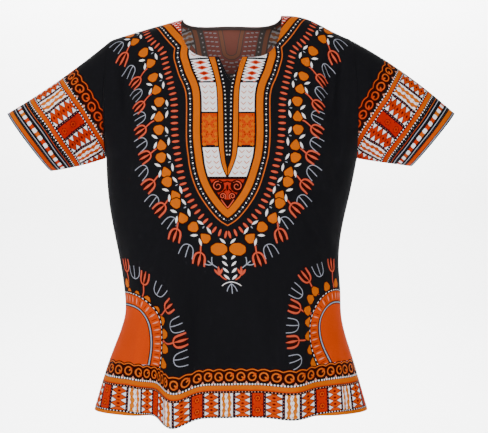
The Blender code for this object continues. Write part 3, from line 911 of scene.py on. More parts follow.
# %% The spirals, the placket and the twigs at the yoke's foot
def spiral_point(chart, centre):
    """Deep coral with dark discs and coral spirals, in the point below the placket."""
    field(chart, "brown", parallel(CORAL_LINE, 27), centre, 364, 424, 0)
    field(chart, "deep_coral", parallel(CORAL_LINE, 29), centre, 367, 403, 0)
    for place, size, start in ((17 + 379j, 9.5, -2.4), (8.5 + 397j, 6.0, 2.2)):
        turn = np.linspace(0, 1, 22)
        chart.add("brown", oval(place, size * 2.5))
        spiral = place + size * (1 - 0.78 * turn) * np.exp(1j * (start + 8.6 * turn))
        chart.add("coral", ribbon(spiral, np.linspace(2.0, 1.3, 22)))
    chart.add("brown", ribbon(curve(pairs(0, 370, 6, 372, 11, 371, 15, 369.5)), 2.6))
    chart.add("brown", leaf(0.5 + 388j, 0.5 + 376j, 3.4), leaf(2 + 384j, 9 + 390j, 3.0))
    chart.add("coral", ribbon(curve(pairs(11, 403, 5.5, 411, 0, 418)), 1.8))


def placket(chart):
    field(chart, "black", STRIPE_INNER, 1j * STRIPE_INNER.imag, 100, 349, 0)
    field(chart, "brown", STRIPE_OUTER, STRIPE_INNER, 100, 362, -1.2)
    field(chart, "stripe", STRIPE_OUTER, STRIPE_INNER, 100, 359, 0.4)
    for level in np.arange(150.0, 330, 7.2):
        chart.dots("white", [half_at(STRIPE_INNER, level) - 4.4 + 1j * level], 2.5)


def twigs_at_foot(chart):
    """White leaves, an orange bud, a small coral tulip and grey twigs below the point."""
    for base in pairs(8.5, 477, 8, 505, 7.5, 517, 7, 529, 6.5, 541):
        chart.add("white", leaf(base - 4.5 + 4j, base + 5.5 - 5j, 4.2))
    tip_bud = 17 + 491j + 1.25 * np.array(pairs(-12, -3, -7, -8, 3, -9, 11, -4, 11, 4, 4, 9, -6, 8, -12, 3))
    chart.add("brown", grown(rounded(tip_bud), 1.8))
    chart.add("stripe", rounded(tip_bud))
    chart.add("coral", ribbon(curve(pairs(8, 545, 15, 541, 20, 534)), 2.2))
    for tip in pairs(13, 525, 20, 521, 28, 526):
        chart.add("coral", leaf(20 + 538j, tip, 4.2, 1.2))
    for points in (
        pairs(22, 524, 30, 518, 38, 512),
        pairs(30, 518, 31, 512, 30, 505),
        pairs(30, 518, 38, 519, 44, 517),
    ):
        chart.add("grey", ribbon(curve(points), 1.5))
    chart.add("white", ribbon(curve(pairs(0, 549, 9, 551, 17, 556)), 1.4))


# %% Half of the front's yoke, in printing order
def front_half(chart):
    outer_rows(chart, TICK_ROW, BUD_ROW, BUD_LEVELS, FORKS, LINE_FORKS)
    striped_edge(chart, CORAL_LINE)
    dashes_beside_neck(chart, BLOCK_EDGE)
    for ink, top, foot in YOKE_BLOCKS:
        field(chart, ink, BLOCK_EDGE, STRIPE_OUTER, top, foot)
    chevron_blocks(chart)
    ikat_block(chart)
    yoke_flower_block(chart)
    spiral_point(chart, 1j * BLOCK_EDGE.imag)
    placket(chart)
    twigs_at_foot(chart)


print("yoke from the shoulder to", round(BUD_ROW[-1].imag), "mm down the front")

# %% [markdown]
# ## The half-moons at the hips
#
# On each side seam sits half an orange disc. A grey line, a ribbed coral ring, white
# dashes, buds and forks run round it.

# %% Half-moons, from the foot up to the side seam, as half-width and level
# Each has its line, then the places of its buds, its coral forks and its grey forks
MOONS = {
    1: (
        pairs(190, 700, 182, 682, 175, 664, 170, 640, 170, 618, 180, 601, 196, 592, 222, 590, 275, 599),
        pairs(221, 555, 187, 560, 156, 567, 143, 581, 135, 601, 139, 622, 141, 647, 147, 672, 156, 695),
        pairs(211, 534, 146, 550, 120, 598, 118, 652),
        pairs(174, 541, 126, 574, 116, 626, 124, 684),
    ),
    -1: (
        pairs(154, 702, 152, 673, 155, 646, 165, 619, 181, 603, 207, 596, 275, 598),
        pairs(221, 555, 213, 572, 188, 576, 164, 584, 148, 602, 134, 619, 124, 640, 120, 664, 122, 690),
        pairs(214, 534, 168, 556, 124, 598, 100, 648),
        pairs(190, 546, 141, 574, 108, 624, 98, 676),
    ),
}
BUD = UPPER_BUD - UPPER_BUD.mean()


def half_moon(chart, hand):
    points, bud_places, forks, line_forks = MOONS[hand]
    line = curve(points)
    seam = np.array([320 + 598j, 320 + line[0].imag * 1j])
    for base in line_forks:
        line_fork(chart, base, aim(line, base), 0)
    for base in forks:
        fork(chart, base, aim(line, base), 0)
    for base in bud_places:
        outline = base - 1j * aim(line, base) * BUD * 0.95
        chart.add("brown", grown(outline, 1.8))
        chart.add("stripe", outline)
    for ink, distance in (("brown", -26), ("black", -24.6), ("block", -20.5)):
        chart.add(ink, np.concatenate([beside(line, distance), seam]))
    for place, out in zip(*stations(beside(line, -22.6), 9.0, 3)):
        chart.add("white", place + 1j * out * oval(0, 5.4, 1.7, points=6))
    for place, out in zip(*stations(line, 11.5, 6)):
        chart.add("pale", leaf(place + out * 4.5, place + out * 18.5, 3.0, 1.2))
        chart.add("wine", leaf(place + out * 5 + 5.4j * out, place + out * 18 + 5.6j * out, 1.5))
    for ink, distance in (("black", -3), ("grey", -0.9), ("black", 1.1), ("moon", 2.8)):
        chart.add(ink, np.concatenate([beside(line, distance), seam]))
    foot = line[0].imag
    chart.add("grey", band(line[0].real + 1j * (foot - 3), 320 + 1j * (foot - 1)))
    chart.add("black", band(line[0].real - 24 + 1j * (foot - 1), 320 + 1j * (foot + 3)))


for hand, (points, *_) in MOONS.items():
    print("half-moon", hand, "from", points[0].imag, "up to", min(point.imag for point in points), "mm")

# %% [markdown]
# ## The border along the hem
#
# From the top: a scalloped coral line, hooked rings on brown, white peaks and dots, an
# orange stripe, and the block strip down to the hem's edge.

# %% The hem border
RING_PITCH = PERIOD / 5.5


def hem_border(chart, start, stop):
    along = np.arange(start, stop, 2.0)
    chart.add("brown", band(start + 707j, stop + 727j))
    scallops = along + 1j * (707.0 - 3.0 * np.abs(np.sin(math.pi * along / RING_PITCH)))
    chart.add("brown", ribbon(scallops, 5.6))
    chart.add("peach", ribbon(scallops, 2.0))
    for i in range(math.floor(start / RING_PITCH), math.ceil(stop / RING_PITCH)):
        middle = (i + 0.5) * RING_PITCH
        up = 1 if i % 2 else -1
        hooked_ring(chart, middle + 717j, 1, 16.4, up)
        peak = i * RING_PITCH
        chart.add("pale", np.array([peak - 3.4 + 729.5j, peak + 724.5j, peak + 3.4 + 729.5j]))
        chart.add("brown", leaf(peak - 3 + 713j, peak + 3 + 721j, 2.0))
    chart.dots("white", np.arange(start, stop, 5.4) + 730.6j, 3.4, 6)
    chart.add("stripe", band(start + 732.6j, stop + 742.2j))
    chart.add("block", band(start + 739.6j, stop + 742.2j))
    chart.dots("pale", np.arange(start, stop, 5.8) + 744.2j, 2.4, 6)
    chart.add("brown", band(start + 745.6j, stop + 747j))
    block_strip(chart, start, stop, 746.6, 787.4)
    chart.dots("white", np.arange(start, stop, 6.0) + 789.2j, 2.2, 6)
    chart.add("stripe", band(start + 790.8j, stop + 803j))


# %% The front's print, set down on the cloth
# Where the print's periods fall across the front, as the panel is cut a little askew
PERIODS = np.array([-3.5, -3, -2.5, -2, -1.5, -1, -0.5, 0, 0.5, 1, 1.5, 2, 2.6])
FALL = np.array([-310, -246, -172, -137, -112, -58.6, -7, 48.6, 107, 171, 216, 283, 350.0])


def front_border_place(strip):
    x = np.interp(strip.real / PERIOD, PERIODS, FALL)
    return x + 1j * (strip.imag - 6 * smooth((np.abs(x) - 130) / 70))


def front_place(side):
    return lambda half: -5 + 6 * smooth((half.imag - 330) / 110) + side * half.real + 1j * half.imag


front_chart = Chart()
for side in (1, -1):
    front_chart.place = front_place(side)
    front_half(front_chart)
front_chart.place = front_place(1)
for tip in (-9 + 566j, 0 + 570j, 9 + 566j):
    front_chart.add("grey", ribbon(curve([552j, (552j + tip) / 2 + tip.real * 0.2, tip]), 1.4))
for hand in (1, -1):
    front_chart.place = lambda half, hand=hand: hand * half.real + 1j * half.imag
    half_moon(front_chart, hand)
front_chart.place = front_border_place
hem_border(front_chart, -3.4 * PERIOD, 2.55 * PERIOD)
print("front print:", len(front_chart.shapes), "shapes")

# %% [markdown]
# ## The back's print
#
# The photo doesn't show the back, so it is finished as such shirts usually are: the same
# rows run round a shallower yoke, and the half-moons and the hem border come again.

# %% The back yoke, bent round a U
BACK_LINE = curve(pairs(165, -10, 140, 40, 124, 84, 118, 120, 108, 154, 88, 184, 58, 207, 28, 219, 0, 222))


def back_half(chart):
    ticks, bud_row = parallel(BACK_LINE, -19), parallel(BACK_LINE, -50)
    for base, out in zip(*stations(ticks, 11.1, 5)):
        if base.real > 3:
            spindle(chart, base, out)
    for base, out in zip(*stations(bud_row, 57, 92)):
        line_fork(chart, base + out * 22, out)
    for base, out in zip(*stations(bud_row, 57, 64)):
        fork(chart, base + out * 13, out)
    for base, out in zip(*stations(bud_row, 57, 92)):
        buds(chart, base, out)
    striped_edge(chart, BACK_LINE)
    for ink, distance in (("brown", 53), ("stripe", 54.5), ("brown", 62), ("black", 63.4), ("red", 73)):
        chart.inside(ink, parallel(BACK_LINE, distance))
    chart.dots("white", stations(parallel(BACK_LINE, 68), 9.6, 4)[0], 3.4)
    for row, distance in enumerate((78, 86, 94)):
        for place in stations(parallel(BACK_LINE, distance), 9.4, 4.7 * (row % 2))[0]:
            chart.add("white", oval(place, 6.8, 2.4, points=8))
    for ink, distance in (("brown", 100), ("stripe", 101.4), ("brown", 108), ("block", 109.4)):
        chart.inside(ink, parallel(BACK_LINE, distance))


def bent_round(line):
    """Strip places bent round a U: along it from the bottom, and inwards from it."""
    whole = np.concatenate([-line.conjugate(), line[-2::-1]])
    at = np.concatenate([[0], np.cumsum(np.abs(np.diff(whole)))])
    at -= at[-1] / 2

    def place(strip):
        def on(where):
            return np.interp(where, at, whole.real) + 1j * np.interp(where, at, whole.imag)

        way = on(strip.real + 2) - on(strip.real - 2)
        return on(strip.real) - 1j * way / np.maximum(np.abs(way), 1e-6) * strip.imag

    return place, at[-1]


DEEPER = back.length - front.length
back_chart = Chart()
for side in (1, -1):
    back_chart.place = lambda half, side=side: side * half.real + 1j * half.imag
    back_half(back_chart)
round_u, half_length = bent_round(parallel(BACK_LINE, 27))
back_chart.place = round_u
block_strip(back_chart, -half_length + 35, half_length - 35, 0.5, 24.5)
for hand in (1, -1):
    back_chart.place = lambda half, hand=hand: hand * half.real + 1j * (half.imag + DEEPER)
    half_moon(back_chart, hand)
back_chart.place = lambda strip: strip.real * 0.97 + 9 + 1j * (strip.imag + DEEPER)
hem_border(back_chart, -3.1 * PERIOD, 3.1 * PERIOD)
print("back print:", len(back_chart.shapes), "shapes")

# %% [markdown]
# ## The sleeves
#
# A sleeve is cut flat and closed by a seam under the arm. Places on it are measured
# along the cloth from the shoulder's top line, front negative, and inwards from the cuff.
# Its bands run round the arm, so they follow the cuff.

# %% A sleeve's net of worn points
TURNS = 241                 # columns of the net, once round the arm
BACK_CREASE_SHIFT = 0.012   # how far further out the same creases lie on the sleeve's back


class Sleeve:
    """A sleeve: worn points and normals, read by flat place in millimetres."""

    def __init__(self, hand):
        hang = SLEEVES[hand]
        self.hand = hand
        self.turn = np.linspace(-1, 1, TURNS)
        share = np.abs(self.turn)
        is_front = self.turn < 0
        armhole = np.where(is_front[:, None], armhole_point(share, -1), armhole_point(share, 1))
        top, foot = np.array(CUFF_TOP), np.array(CUFF_FOOT) - (0, hang.foot)
        middle, half = (top + foot) / 2, (top - foot) / 2
        lobe = np.cos(math.pi * share)
        depth = CUFF_HALF_DEPTH * np.sin(math.pi * share) * np.where(is_front, -1, 1)
        cuff = np.stack([middle[0] + half[0] * lobe, CUFF_BACK + depth, middle[1] + half[1] * lobe], axis=-1)
        self.reach = np.linalg.norm(cuff - armhole, axis=1) * 1000
        self.inwards = np.linspace(0, self.reach.max() + 6, 151)
        part = 1 - np.minimum(self.inwards[:, None], self.reach + 6) / self.reach
        rings = armhole + (cuff - armhole) * part[..., None]
        rings[..., 2] -= 4 * part * (1 - part) * (hang.under * smooth(-lobe) + hang.upper * smooth(lobe))
        ends = smooth(share * 8) * smooth((1 - share) * 8)
        lift, _ = fold_lift(rings, SLEEVE_FOLDS)
        ripple, _ = fold_lift(rings, SLEEVE_CREASES)
        ripple_back, _ = fold_lift(rings - [BACK_CREASE_SHIFT, 0, 0], SLEEVE_CREASES)
        inside = smooth(part * 6) * smooth((1 - part) * 6)
        lift = (lift * smooth(part * 4) + ripple * inside) * is_front * ends
        lift += ripple_back * inside * ~is_front * ends
        rings = rings + self.around(rings) * lift[..., None]
        outward = self.around(rings)
        steps = np.linalg.norm(np.diff(rings, axis=1), axis=2) * 1000
        along = np.concatenate([np.zeros((len(rings), 1)), np.cumsum(steps, axis=1)], axis=1)
        self.along = along - along[:, TURNS // 2][:, None]
        self.points, self.outward = rings * [hand, 1, 1], outward * [hand, 1, 1]

    @staticmethod
    def around(rings):
        normals = normals_of(rings[:, :-1], around=True)
        return np.concatenate([normals, normals[:, :1]], axis=1)

    def row(self, inwards):
        row = np.clip(inwards / self.inwards[1], 0, len(self.inwards) - 1 - 1e-9)
        return row.astype(int), row % 1

    def flat(self, turn, inwards):
        first, b = self.row(inwards)
        low, high = (
            np.array([np.interp(t, self.turn, self.along[k + step]) for t, k in zip(turn, first)])
            for step in (0, 1))
        return low * (1 - b) + high * b + 1j * inwards

    def turns(self, flat):
        first, b = self.row(flat.imag)
        turn = np.empty(flat.shape)
        for k in np.unique(first):
            here = first == k
            low = np.interp(flat.real[here], self.along[k], self.turn)
            high = np.interp(flat.real[here], self.along[k + 1], self.turn)
            turn[here] = low * (1 - b[here]) + high * b[here]
        return turn

    def worn(self, flat):
        first, b = self.row(flat.imag)
        at = np.clip((self.turns(flat) + 1) / 2 * (TURNS - 1), 0, TURNS - 1 - 1e-9)
        i, a = at.astype(int), (at % 1)[:, None]
        b = b[:, None]
        found = []
        for net in (self.points, self.outward):
            low = net[first, i] * (1 - a) + net[first, i + 1] * a
            high = net[first + 1, i] * (1 - a) + net[first + 1, i + 1] * a
            found.append(low * (1 - b) + high * b)
        return found[0], unit(found[1])

    def cut(self):
        """The cut outline: crown, one underarm edge, cuff, and the other underarm edge."""
        turn = np.linspace(-1, 1, 161)
        reach = np.interp(turn, self.turn, self.reach)
        crown = self.flat(turn, reach - SEAM_INSET)
        under = np.linspace(reach[-1], 0, 30)[1:]
        cuff = self.flat(turn[::-1], 0 * turn)[1:-1]
        right = self.flat(1 + 0 * under, under) - SEAM_INSET
        left = self.flat(-1 + 0 * under, under[::-1]) + SEAM_INSET
        return np.concatenate([crown, right, cuff, left])

    def seams(self, outline):
        turn = self.turns(outline)
        return (np.abs(turn) > 0.995) | (outline.imag > np.interp(turn, self.turn, self.reach) - 1)


# %% Where the seams lie on a front or back
VENT_ROW = 1 + (VENT_TOP - UNDERARM_LEVEL) / (HEM_LEVEL - UNDERARM_LEVEL)
print("side seams end at row", round(VENT_ROW, 3))


def panel_seams(panel, outline):
    """Which places of a panel's outline lie on its shoulder, armhole and side seams."""
    across, down = panel.shares(outline)
    shoulder = (down < 0.004) & (np.abs(across) > NECK_HALF / SHOULDER_HALF)
    return ((np.abs(across) > 0.995) & (down < VENT_ROW)) | shoulder


# %% A sleeve's print
def sleeve_bands(chart):
    """The bands from the cuff inwards, as they run round the arm."""
    start, stop = -230.0, 230.0

    def stripe(ink, low, high):
        chart.add(ink, band(start + low * 1j, stop + high * 1j))

    stripe("grey", 2.6, 3.8)
    stripe("stripe", 5.2, 12.2)
    stripe("grey", 17.0, 18.4)
    stripe("white", 22.6, 30.2)
    dash = np.array([0, 0.9 + 3.8j, 7.6j, 8.6 + 7.6j, 7.7 + 3.8j, 8.6])
    for i, s in enumerate(np.arange(start, stop, 15.0)):
        chart.add("sand" if i % 3 == 0 else "block", dash + s + 22.6j)
    stripe("grey", 36.0, 37.4)
    stripe("peach", 41.4, 42.5)
    chart.dots("grey", np.arange(start, stop, 7.6) + 45.6j, 1.2, 5)
    chart.dots("white", np.arange(start, stop, 5.4) + 49.8j, 2.6, 6)
    stripe("stripe", 51.6, 60.0)
    stripe("block", 57.6, 60.0)
    chart.dots("white", np.arange(start, stop, 5.4) + 61.9j, 2.5, 6)
    block_strip(chart, start, stop, 64.4, 114.6)
    chart.dots("white", np.arange(start, stop, 5.4) + 116.3j, 2.5, 6)
    stripe("stripe", 118.2, 126.2)
    stripe("block", 118.2, 120.4)
    chart.dots("white", np.arange(start, stop, 5.4) + 127.7j, 2.6, 6)
    stripe("brown", 132, 155)
    for i, s in enumerate(np.arange(start, stop, 18.5)):
        chart.add("pale", np.array([s - 3 + 129j, s + 133j, s + 3 + 129j]))
        hooked_ring(chart, s + 9.2 + 143j, -1, 16.0, 1 if i % 2 else -1)
    along = np.arange(start, stop, 2.0)
    scallops = along + 1j * (154.4 + 3.0 * np.abs(np.sin(math.pi * (along - start) / 18.5)))
    chart.add("brown", ribbon(scallops, 5.6))
    chart.add("peach", ribbon(scallops, 1.9))


SLEEVE_SPREAD = 1.13       # the print lies a little wider on the sleeves
SLEEVE_SHIFT = {1: -6.0, -1: 2.0}
SLEEVE_BEND = 0.00045       # and its bands draw in towards the cuff under the arm


def sleeve_place(shift):
    def place(strip):
        return strip.real * SLEEVE_SPREAD + shift + 1j * strip.imag * (1 - SLEEVE_BEND * np.abs(strip.real))

    return place


sleeves, sleeve_charts = {}, {}
for hand in (1, -1):
    sleeves[hand] = Sleeve(hand)
    sleeve_charts[hand] = Chart(sleeve_place(SLEEVE_SHIFT[hand]))
    sleeve_bands(sleeve_charts[hand])
    under, top = sleeves[hand].reach.round()[[0, TURNS // 2]]
    print("sleeve", hand, "cuff", round(np.ptp(sleeves[hand].along[0])), "mm round,",
          top, "mm long on top and", under, "mm under the arm")

# %% [markdown]
# ## Cutting out and putting on
#
# The print could be an image laid on the cloth, but it would blur from close by. Instead
# the chart and the cut outline are divided together into triangles, so every printed edge
# is an edge of the mesh, and each triangle takes the last ink printed on it. The flat
# triangles are then laid on the worn form, and a second face follows 0.7 mm inside.

# %% From a chart to a cloth shell
CLOTH = 0.0007              # between the outer and the inner face, in metres
GRID = 7.0                  # spacing of the plain cloth's points, in millimetres
EDGE_ROWS = (1.6, 3.6)      # rows of points beside the cut edge
SEAM_DIP = 0.0009           # how far the cloth dips at a seam, in metres
SEAM_REACH = 1.9            # and how wide that dip is, in millimetres
SHOW_THROUGH = 0.34         # how much of the print shows on the reverse
BARE_REVERSE = (150, 138, 132)  # the bare cotton between what shows through
BARE_SHARE = 0.36


def linear(colour):
    """A colour from 0 to 255 as the amounts of light that a shader takes."""
    share = np.asarray(colour, float) / 255
    return np.where(share > 0.04045, ((share + 0.055) / 1.055) ** 2.4, share / 12.92)


def shoelace(outline):
    """The area inside an outline, above 0 where it runs from across towards down."""
    return np.sum(outline.real * np.roll(outline.imag, -1) - outline.imag * np.roll(outline.real, -1)) / 2


def inner_rows(outline, distances):
    """Places inside an outline, at small distances from it."""
    way = np.roll(outline, -1) - np.roll(outline, 1)
    inwards = 1j * way / np.maximum(np.abs(way), 1e-9) * np.sign(shoelace(outline))
    return [outline + inwards * distance for distance in distances]


# %% The flat pieces, divided into triangles
def divided(chart, outline):
    """Triangles of the cut piece: flat places, corners, and an ink for each triangle."""
    low = outline.real.min() + 1j * outline.imag.min()
    high = outline.real.max() + 1j * outline.imag.max()
    places, faces, inks, count = [], [], [], 0
    for ink, shape in [(INK_NAMES.index("black"), outline), *chart.shapes]:
        outside = (shape.real.max() < low.real or shape.real.min() > high.real
                   or shape.imag.max() < low.imag or shape.imag.min() > high.imag)
        shape = shape[np.abs(shape - np.roll(shape, 1)) > 1e-3]
        if outside or len(shape) < 3 or abs(shoelace(shape)) < 0.3:
            continue
        shape = shape[::-1] if shoelace(shape) < 0 else shape
        places.append(shape)
        faces.append(list(range(count, count + len(shape))))
        inks.append(ink)
        count += len(shape)
    across, down = np.meshgrid(np.arange(low.real, high.real, GRID), np.arange(low.imag, high.imag, GRID))
    across[1::2] += GRID / 2
    places += [(across + 1j * down).ravel(), *inner_rows(outline, EDGE_ROWS)]
    places = np.concatenate(places) / 1000
    found = geometry.delaunay_2d_cdt([Vector((p.real, p.imag)) for p in places], [], faces, 1, 1e-6, True)
    flat = np.array([complex(*v) for v in found[0]]) * 1000
    corners = np.array(found[2])
    a, b, c = flat[corners].T
    size = np.abs(((b - a).conjugate() * (c - a)).imag) / 2
    # An outline that crosses itself can fill more than its own area, and is left out
    drawn = np.array([abs(shoelace(places[face[0]:face[-1] + 1])) for face in faces]) * 1e6
    filled = np.zeros(len(faces))
    for ids, one in zip(found[5], size):
        filled[ids] += one
    spilt = set(np.nonzero(filled > drawn * 1.05 + 0.5)[0].tolist())
    if spilt:
        print("shapes left out because they cross themselves:", [INK_NAMES[inks[k]] for k in sorted(spilt)])
    kept = [k for k, ids in enumerate(found[5]) if 0 in ids]
    colours = [inks[max(i for i in found[5][k] if i not in spilt)] for k in kept]
    return flat, corners[kept], np.array(colours)


# %% Tints, and painted shade on the sleeves' undersides
def plain_tint(flat, colours):
    return colours


def sleeve_ombre_and_shade(flat, colours):
    """The printed orange deepens to red from the top of the sleeve down to its underside, and darkens there
    as painted shade.
    """
    depth = smooth((np.abs(flat.real) - 15) / 130)[:, None]
    warm = (colours[:, 0] > 0.5) & (colours[:, 2] < 0.02)
    # The darkening towards the underside is painted shade, on top of the print's own deepening to red.
    toned = colours * (1 - depth * [0.16, 0.62, 0.30])
    return np.where(warm[:, None], toned, colours)


# %% A worn cloth shell with its print
def cloth_shell(name, worn, chart, outline, on_seam, tint, node, materials):
    """The cut piece laid on the worn form, with its print, as the piece that shows."""
    flat, corners, inks = divided(chart, outline)
    used, corners = np.unique(corners, return_inverse=True)
    corners, flat = corners.reshape(-1, 3), flat[used]
    outer, normals = worn(flat)
    a, b, c = outer[corners].transpose(1, 0, 2)
    if np.sum(np.cross(b - a, c - a) * normals[corners[:, 0]]) < 0:
        corners = corners[:, ::-1]

    # The cloth dips a little where it is sewn
    seam, near = outline[on_seam], np.full(len(flat), 99.0)
    for start in range(0, len(flat), 4000):
        chunk = flat[start:start + 4000, None]
        near[start:start + 4000] = np.abs(chunk - seam).min(axis=1) if len(seam) else 99.0
    dip = np.exp(-(near / SEAM_REACH) ** 2)
    outer = outer - normals * (SEAM_DIP * dip)[:, None]
    a, b, c = outer[corners].transpose(1, 0, 2)
    made = np.zeros_like(outer)
    for k in range(3):
        np.add.at(made, corners[:, k], np.cross(b - a, c - a))
    bent = smooth((5 - near) / 2)[:, None]
    shown = unit(normals * (1 - bent) + unit(made) * bent)

    # Outer face, inner face, and a rim round the edge
    count = len(outer)
    points = np.concatenate([outer, outer - normals * CLOTH])
    sides = np.concatenate([corners[:, [0, 1]], corners[:, [1, 2]], corners[:, [2, 0]]])
    owner = np.tile(np.arange(len(corners)), 3)
    keys = sides[:, 0].astype(np.int64) * count + sides[:, 1]
    rim = ~np.isin(keys, sides[:, 1].astype(np.int64) * count + sides[:, 0])
    start, end = sides[rim, 0], sides[rim, 1]
    quads = np.stack([end, start, start + count, end + count], axis=1)
    mesh = bpy.data.meshes.new(name)
    faces = [*corners.tolist(), *(corners[:, ::-1] + count).tolist(), *quads.tolist()]
    mesh.from_pydata(points.tolist(), [], faces)
    loops = np.concatenate([corners.ravel(), corners[:, ::-1].ravel() + count, quads.ravel()])
    looks = np.array([linear(INKS[ink]) for ink in INK_NAMES])
    face_inks = np.concatenate([np.repeat(inks, 3), np.repeat(inks, 3), np.repeat(inks[owner[rim]], 4)])
    # On the sleeves the tint also paints shade on their undersides.
    colours = tint(flat[loops % count], looks[face_inks])
    is_inner = np.zeros(len(loops), bool)
    is_inner[3 * len(corners):6 * len(corners)] = True
    reverse = colours * SHOW_THROUGH + linear(BARE_REVERSE) * BARE_SHARE
    colours = np.where(is_inner[:, None], reverse, colours)
    attribute = mesh.color_attributes.new("ink", "FLOAT_COLOR", "CORNER")
    attribute.data.foreach_set("color", np.concatenate([colours, np.ones((len(loops), 1))], axis=1).ravel())
    grain = mesh.uv_layers.new(name="cloth_metres")
    uv = flat[loops % count] / 1000
    grain.data.foreach_set("uv", np.stack([uv.real, -uv.imag], axis=1).ravel())
    rim_normals = unit(np.cross(outer[end] - outer[start], -normals[start]))
    mesh.polygons.foreach_set("use_smooth", [True] * len(faces))
    mesh.polygons.foreach_set("material_index", [0] * len(corners) + [1] * len(corners) + [0] * len(quads))
    for material in materials:
        mesh.materials.append(material)
    mesh.validate()
    mesh.normals_split_custom_set(np.concatenate([
        shown[corners.ravel()],
        -shown[corners[:, ::-1].ravel()],
        np.repeat(-rim_normals, 4, axis=0),
    ]).tolist())
    piece = bpy.data.objects.new(name, mesh)
    bpy.context.scene.collection.objects.link(piece)
    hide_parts(node)
    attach(piece, "root")
    area = abs(shoelace(outline)) / 1e6
    size = (np.ptp(outline.real) / 1000, np.ptp(outline.imag) / 1000)
    print(name, "cut", [round(s * 1000) for s in size], "mm, area", round(area, 4),
          "m2, triangles", 2 * len(corners) + 2 * len(quads))
    return piece, size, area


# %% [markdown]
# ## The cotton
#
# Plain-woven printed cotton is matt. The print is strong on its face and pale on its
# reverse. Threads of uneven thickness show as faint slubs, and the cloth keeps a soft
# crumple from wear. Threads are too fine to model, so noise that is stretched along each
# set of threads stands for them, read in metres of flat cloth so that it follows the cloth.

# %% Materials
SLUBS = (260.0, 2600.0, 1.0)        # threads' uneven spots to the metre, along and across
WEFT_SLUBS = (2200.0, 300.0, 1.0)   # the same in the threads that cross them
CRUMPLES = 38.0                     # crumples to the metre


def node_of(tree, kind, **values):
    """A new node, with its inputs or else its settings given by name."""
    node = tree.nodes.new(kind)
    for key, value in values.items():
        if key in node.inputs:
            node.inputs[key].default_value = value
        else:
            setattr(node, key, value)
    return node


def printed_cotton(name, rough, fade):
    """Matt cotton in the colour of its ink, with threads that differ in tone by fade."""
    material = bpy.data.materials.new(name)
    material.use_nodes = True
    tree = material.node_tree
    shader = tree.nodes["Principled BSDF"]
    shader.inputs["Roughness"].default_value = rough
    shader.inputs["Sheen Weight"].default_value = 0.01
    shader.inputs["Sheen Roughness"].default_value = 0.5
    shader.inputs["Specular IOR Level"].default_value = 0.03
    ink = node_of(tree, "ShaderNodeAttribute", attribute_name="ink")
    place = node_of(tree, "ShaderNodeUVMap", uv_map="cloth_metres")
    slub_scale = node_of(tree, "ShaderNodeMapping", Scale=SLUBS)
    slub = node_of(tree, "ShaderNodeTexNoise", Scale=1.0, Detail=2.0)
    wear = node_of(tree, "ShaderNodeTexNoise", Scale=CRUMPLES, Detail=4.0)
    weft = node_of(tree, "ShaderNodeTexNoise", Scale=1.0, Detail=1.0)
    weft_scale = node_of(tree, "ShaderNodeMapping", Scale=WEFT_SLUBS)
    tree.links.new(place.outputs["UV"], slub_scale.inputs["Vector"])
    tree.links.new(place.outputs["UV"], weft_scale.inputs["Vector"])
    tree.links.new(place.outputs["UV"], wear.inputs["Vector"])
    tree.links.new(slub_scale.outputs["Vector"], slub.inputs["Vector"])
    tree.links.new(weft_scale.outputs["Vector"], weft.inputs["Vector"])
    threads = node_of(tree, "ShaderNodeMath", operation="ADD")
    tree.links.new(slub.outputs["Fac"], threads.inputs[0])
    tree.links.new(weft.outputs["Fac"], threads.inputs[1])
    shade = node_of(tree, "ShaderNodeMapRange")
    for key, value in (("From Min", 0.6), ("From Max", 1.4), ("To Min", 1 - fade), ("To Max", 1 + fade)):
        shade.inputs[key].default_value = value
    tree.links.new(threads.outputs["Value"], shade.inputs["Value"])
    toned = node_of(tree, "ShaderNodeVectorMath", operation="SCALE")
    tree.links.new(ink.outputs["Color"], toned.inputs[0])
    tree.links.new(shade.outputs["Result"], toned.inputs["Scale"])
    tree.links.new(toned.outputs["Vector"], shader.inputs["Base Color"])
    weave_bump = node_of(tree, "ShaderNodeBump", Strength=0.25, Distance=0.0002)
    crumple = node_of(tree, "ShaderNodeBump", Strength=0.55, Distance=0.0022)
    tree.links.new(threads.outputs["Value"], weave_bump.inputs["Height"])
    tree.links.new(wear.outputs["Fac"], crumple.inputs["Height"])
    tree.links.new(crumple.outputs["Normal"], weave_bump.inputs["Normal"])
    tree.links.new(weave_bump.outputs["Normal"], shader.inputs["Normal"])
    return material


face_cotton = printed_cotton("printed_cotton", 0.82, 0.10)
reverse_cotton = printed_cotton("cotton_reverse", 0.90, 0.06)
cotton = (face_cotton, reverse_cotton)
print("materials:", [material.name for material in cotton])

# %% [markdown]
# ## Making the four pieces
#
# Front and back share one maker, and so do the two sleeves. The seam places are worked out
# first, because the cloth dips a little where two pieces are sewn together.

# %% The four cut pieces
for name, panel, chart in (("front", front, front_chart), ("back", back, back_chart)):
    outline = subdivided(panel.cut(), 4.0)
    on_seam = panel_seams(panel, outline)
    cloth_shell(
        name + "_cloth", panel.worn, chart, outline, on_seam, plain_tint,
        name + "_panel", cotton)
for name, hand in (("sleeve_left", 1), ("sleeve_right", -1)):
    outline = subdivided(sleeves[hand].cut(), 4.0)
    on_seam = sleeves[hand].seams(outline)
    cloth_shell(
        name + "_cloth", sleeves[hand].worn, sleeve_charts[hand], outline, on_seam, sleeve_ombre_and_shade,
        name, cotton)

# %% [markdown]
# ## Sewing
#
# The hem, the cuffs, the vents and the neckline are turned in, and a row of stitches in
# black thread holds each of them. A turned edge is a strip that follows the shell's inner
# side. It could be made by folding the shell's own edge, but a separate strip leaves the
# printed edge as it is cut.

# %% Turned edges, with their widths and the stitch rows' distances from the edge in mm
TURNED = 0.0005             # thickness of a turned edge, in metres
TURNED_GAP = 0.00015        # and its distance from the shell
TURN_ROWS = 5               # rows of points from the edge inwards
HEM_TURN, HEM_STITCHES = 16.0, 14.0
VENT_TURN, VENT_STITCHES = 12.0, 9.0
NECK_TURN, NECK_STITCHES = 8.0, 2.6
TURNED_TONE = (96, 84, 82)


